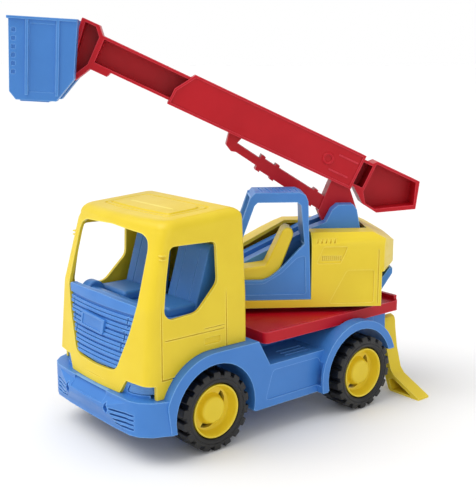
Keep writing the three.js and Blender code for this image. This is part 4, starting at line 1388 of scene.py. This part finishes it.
# ---------------------------------------------------------------- studio
@dataclass
class Studio:
    """A pale floor, soft light and the camera."""

    bay: Bay
    finishes: Finishes
    azimuth: float = 50.7
    elevation: float = 12.2
    eye: tuple[float, float, float] = (552.7, -446.0, 280.1)
    lens: float = 65.74
    room: tuple[float, float] = (0.42, 0.8)

    def camera(self) -> None:
        """Sets the camera."""
        data = bpy.data.cameras.new("camera")
        data.lens, data.sensor_width = self.lens, 36.0
        data.clip_start, data.clip_end = 0.05, 20.0
        camera = bpy.data.objects.new("camera", data)
        bpy.context.scene.collection.objects.link(camera)
        a, e = math.radians(self.azimuth), math.radians(self.elevation)
        view = Vector((-math.sin(a) * math.cos(e), math.cos(a) * math.cos(e), -math.sin(e)))
        camera.location = self.bay.point(self.eye)
        camera.rotation_mode = "QUATERNION"
        camera.rotation_quaternion = view.to_track_quat("-Z", "Y")
        bpy.context.scene.camera = camera

    def backdrop(self, tree: bpy.types.NodeTree) -> None:
        """A white backdrop behind the truck, with a soft ceiling and a dimmer room around it.

        Args:
            tree: the world's node tree.
        """
        a = math.radians(self.azimuth)
        direction = tree.nodes.new("ShaderNodeTexCoord").outputs["Generated"]
        split = tree.nodes.new("ShaderNodeSeparateXYZ")
        tree.links.new(direction, split.inputs[0])
        facing = tree.nodes.new("ShaderNodeVectorMath")
        facing.operation = "DOT_PRODUCT"
        tree.links.new(direction, facing.inputs[0])
        facing.inputs[1].default_value = (-math.sin(a), math.cos(a), 0.0)
        height, ahead = split.outputs[2], facing.outputs["Value"]
        glow = None
        for source, levels in (
                (height, (0.0, 0.9, *self.room)), (ahead, (0.5, 0.85, 0.0, 1.0)),
                (height, (0.08, 0.22, 1.0, 0.0))):
            ramp = tree.nodes.new("ShaderNodeMapRange")
            tree.links.new(source, ramp.inputs[0])
            for key, value in enumerate(levels, start=1):
                ramp.inputs[key].default_value = value
            if glow is None:
                glow = ramp.outputs[0]
                continue
            brighter = tree.nodes.new("ShaderNodeMath")
            brighter.operation = "MAXIMUM"
            tree.links.new(glow, brighter.inputs[0])
            tree.links.new(ramp.outputs[0], brighter.inputs[1])
            glow = brighter.outputs[0]
        tree.links.new(glow, tree.nodes["Background"].inputs["Strength"])
        tree.nodes["Background"].inputs["Color"].default_value = (1.0, 1.0, 1.0, 1.0)

    def lamp(self, name: str, place: Sequence[float], size: float, power: float) -> None:
        """An area light at a place in metres, turned to the truck."""
        data = bpy.data.lights.new(name, "AREA")
        data.shape, data.size, data.energy = "DISK", size, power
        lamp = bpy.data.objects.new(name, data)
        bpy.context.scene.collection.objects.link(lamp)
        lamp.location = place
        aim = self.bay.point((0, 0, 120)) - Vector(place)
        lamp.rotation_mode = "QUATERNION"
        lamp.rotation_quaternion = aim.to_track_quat("-Z", "Y")

    def sun(self, place: Sequence[float], strength: float) -> None:
        """A wide soft ceiling light, so that the floor is evenly bright to the backdrop."""
        data = bpy.data.lights.new("ceiling", "SUN")
        data.energy, data.angle = strength, math.radians(50.0)
        lamp = bpy.data.objects.new("ceiling", data)
        bpy.context.scene.collection.objects.link(lamp)
        lamp.rotation_mode = "QUATERNION"
        lamp.rotation_quaternion = (-Vector(place)).to_track_quat("-Z", "Y")

    def build(self) -> None:
        """Sets the floor, the lights and the camera."""
        bpy.ops.object.select_all(action="DESELECT")
        bpy.ops.mesh.primitive_plane_add(size=120.0)
        floor = bpy.context.active_object
        floor.name = "studio_floor"
        floor.data.materials.append(self.finishes.floor)
        world = bpy.data.worlds.new("studio")
        world.use_nodes = True
        self.backdrop(world.node_tree)
        scene = bpy.context.scene
        scene.world = world
        scene.view_settings.view_transform = "Standard"
        self.sun((-0.35, -0.75, 1.3), 1.45)
        self.lamp("key", (-0.6, -1.2, 1.5), 0.7, 3.0)
        self.lamp("side", (1.7, -0.5, 0.7), 1.0, 3.0)
        self.camera()


def main() -> None:
    """Loads the frame and builds every sub-assembly in order."""
    logging.basicConfig(level=logging.INFO, format="%(message)s")
    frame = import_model()
    bays = Bays(frame["joints"])
    finishes = Finishes()
    shop = Shop(finishes)
    Studio(bays.truck, finishes).build()
    Wheels(shop, bays).build()
    Chassis(shop, bays.truck).build()
    DriverCab(shop, bays.truck).build()
    UpperBody(shop, bays.upper).build()
    Boom(shop, bays.boom).build()
    Basket(shop, bays.basket).build()
    Outriggers(shop, bays.legs).build()


if __name__ == "__main__":
    main()
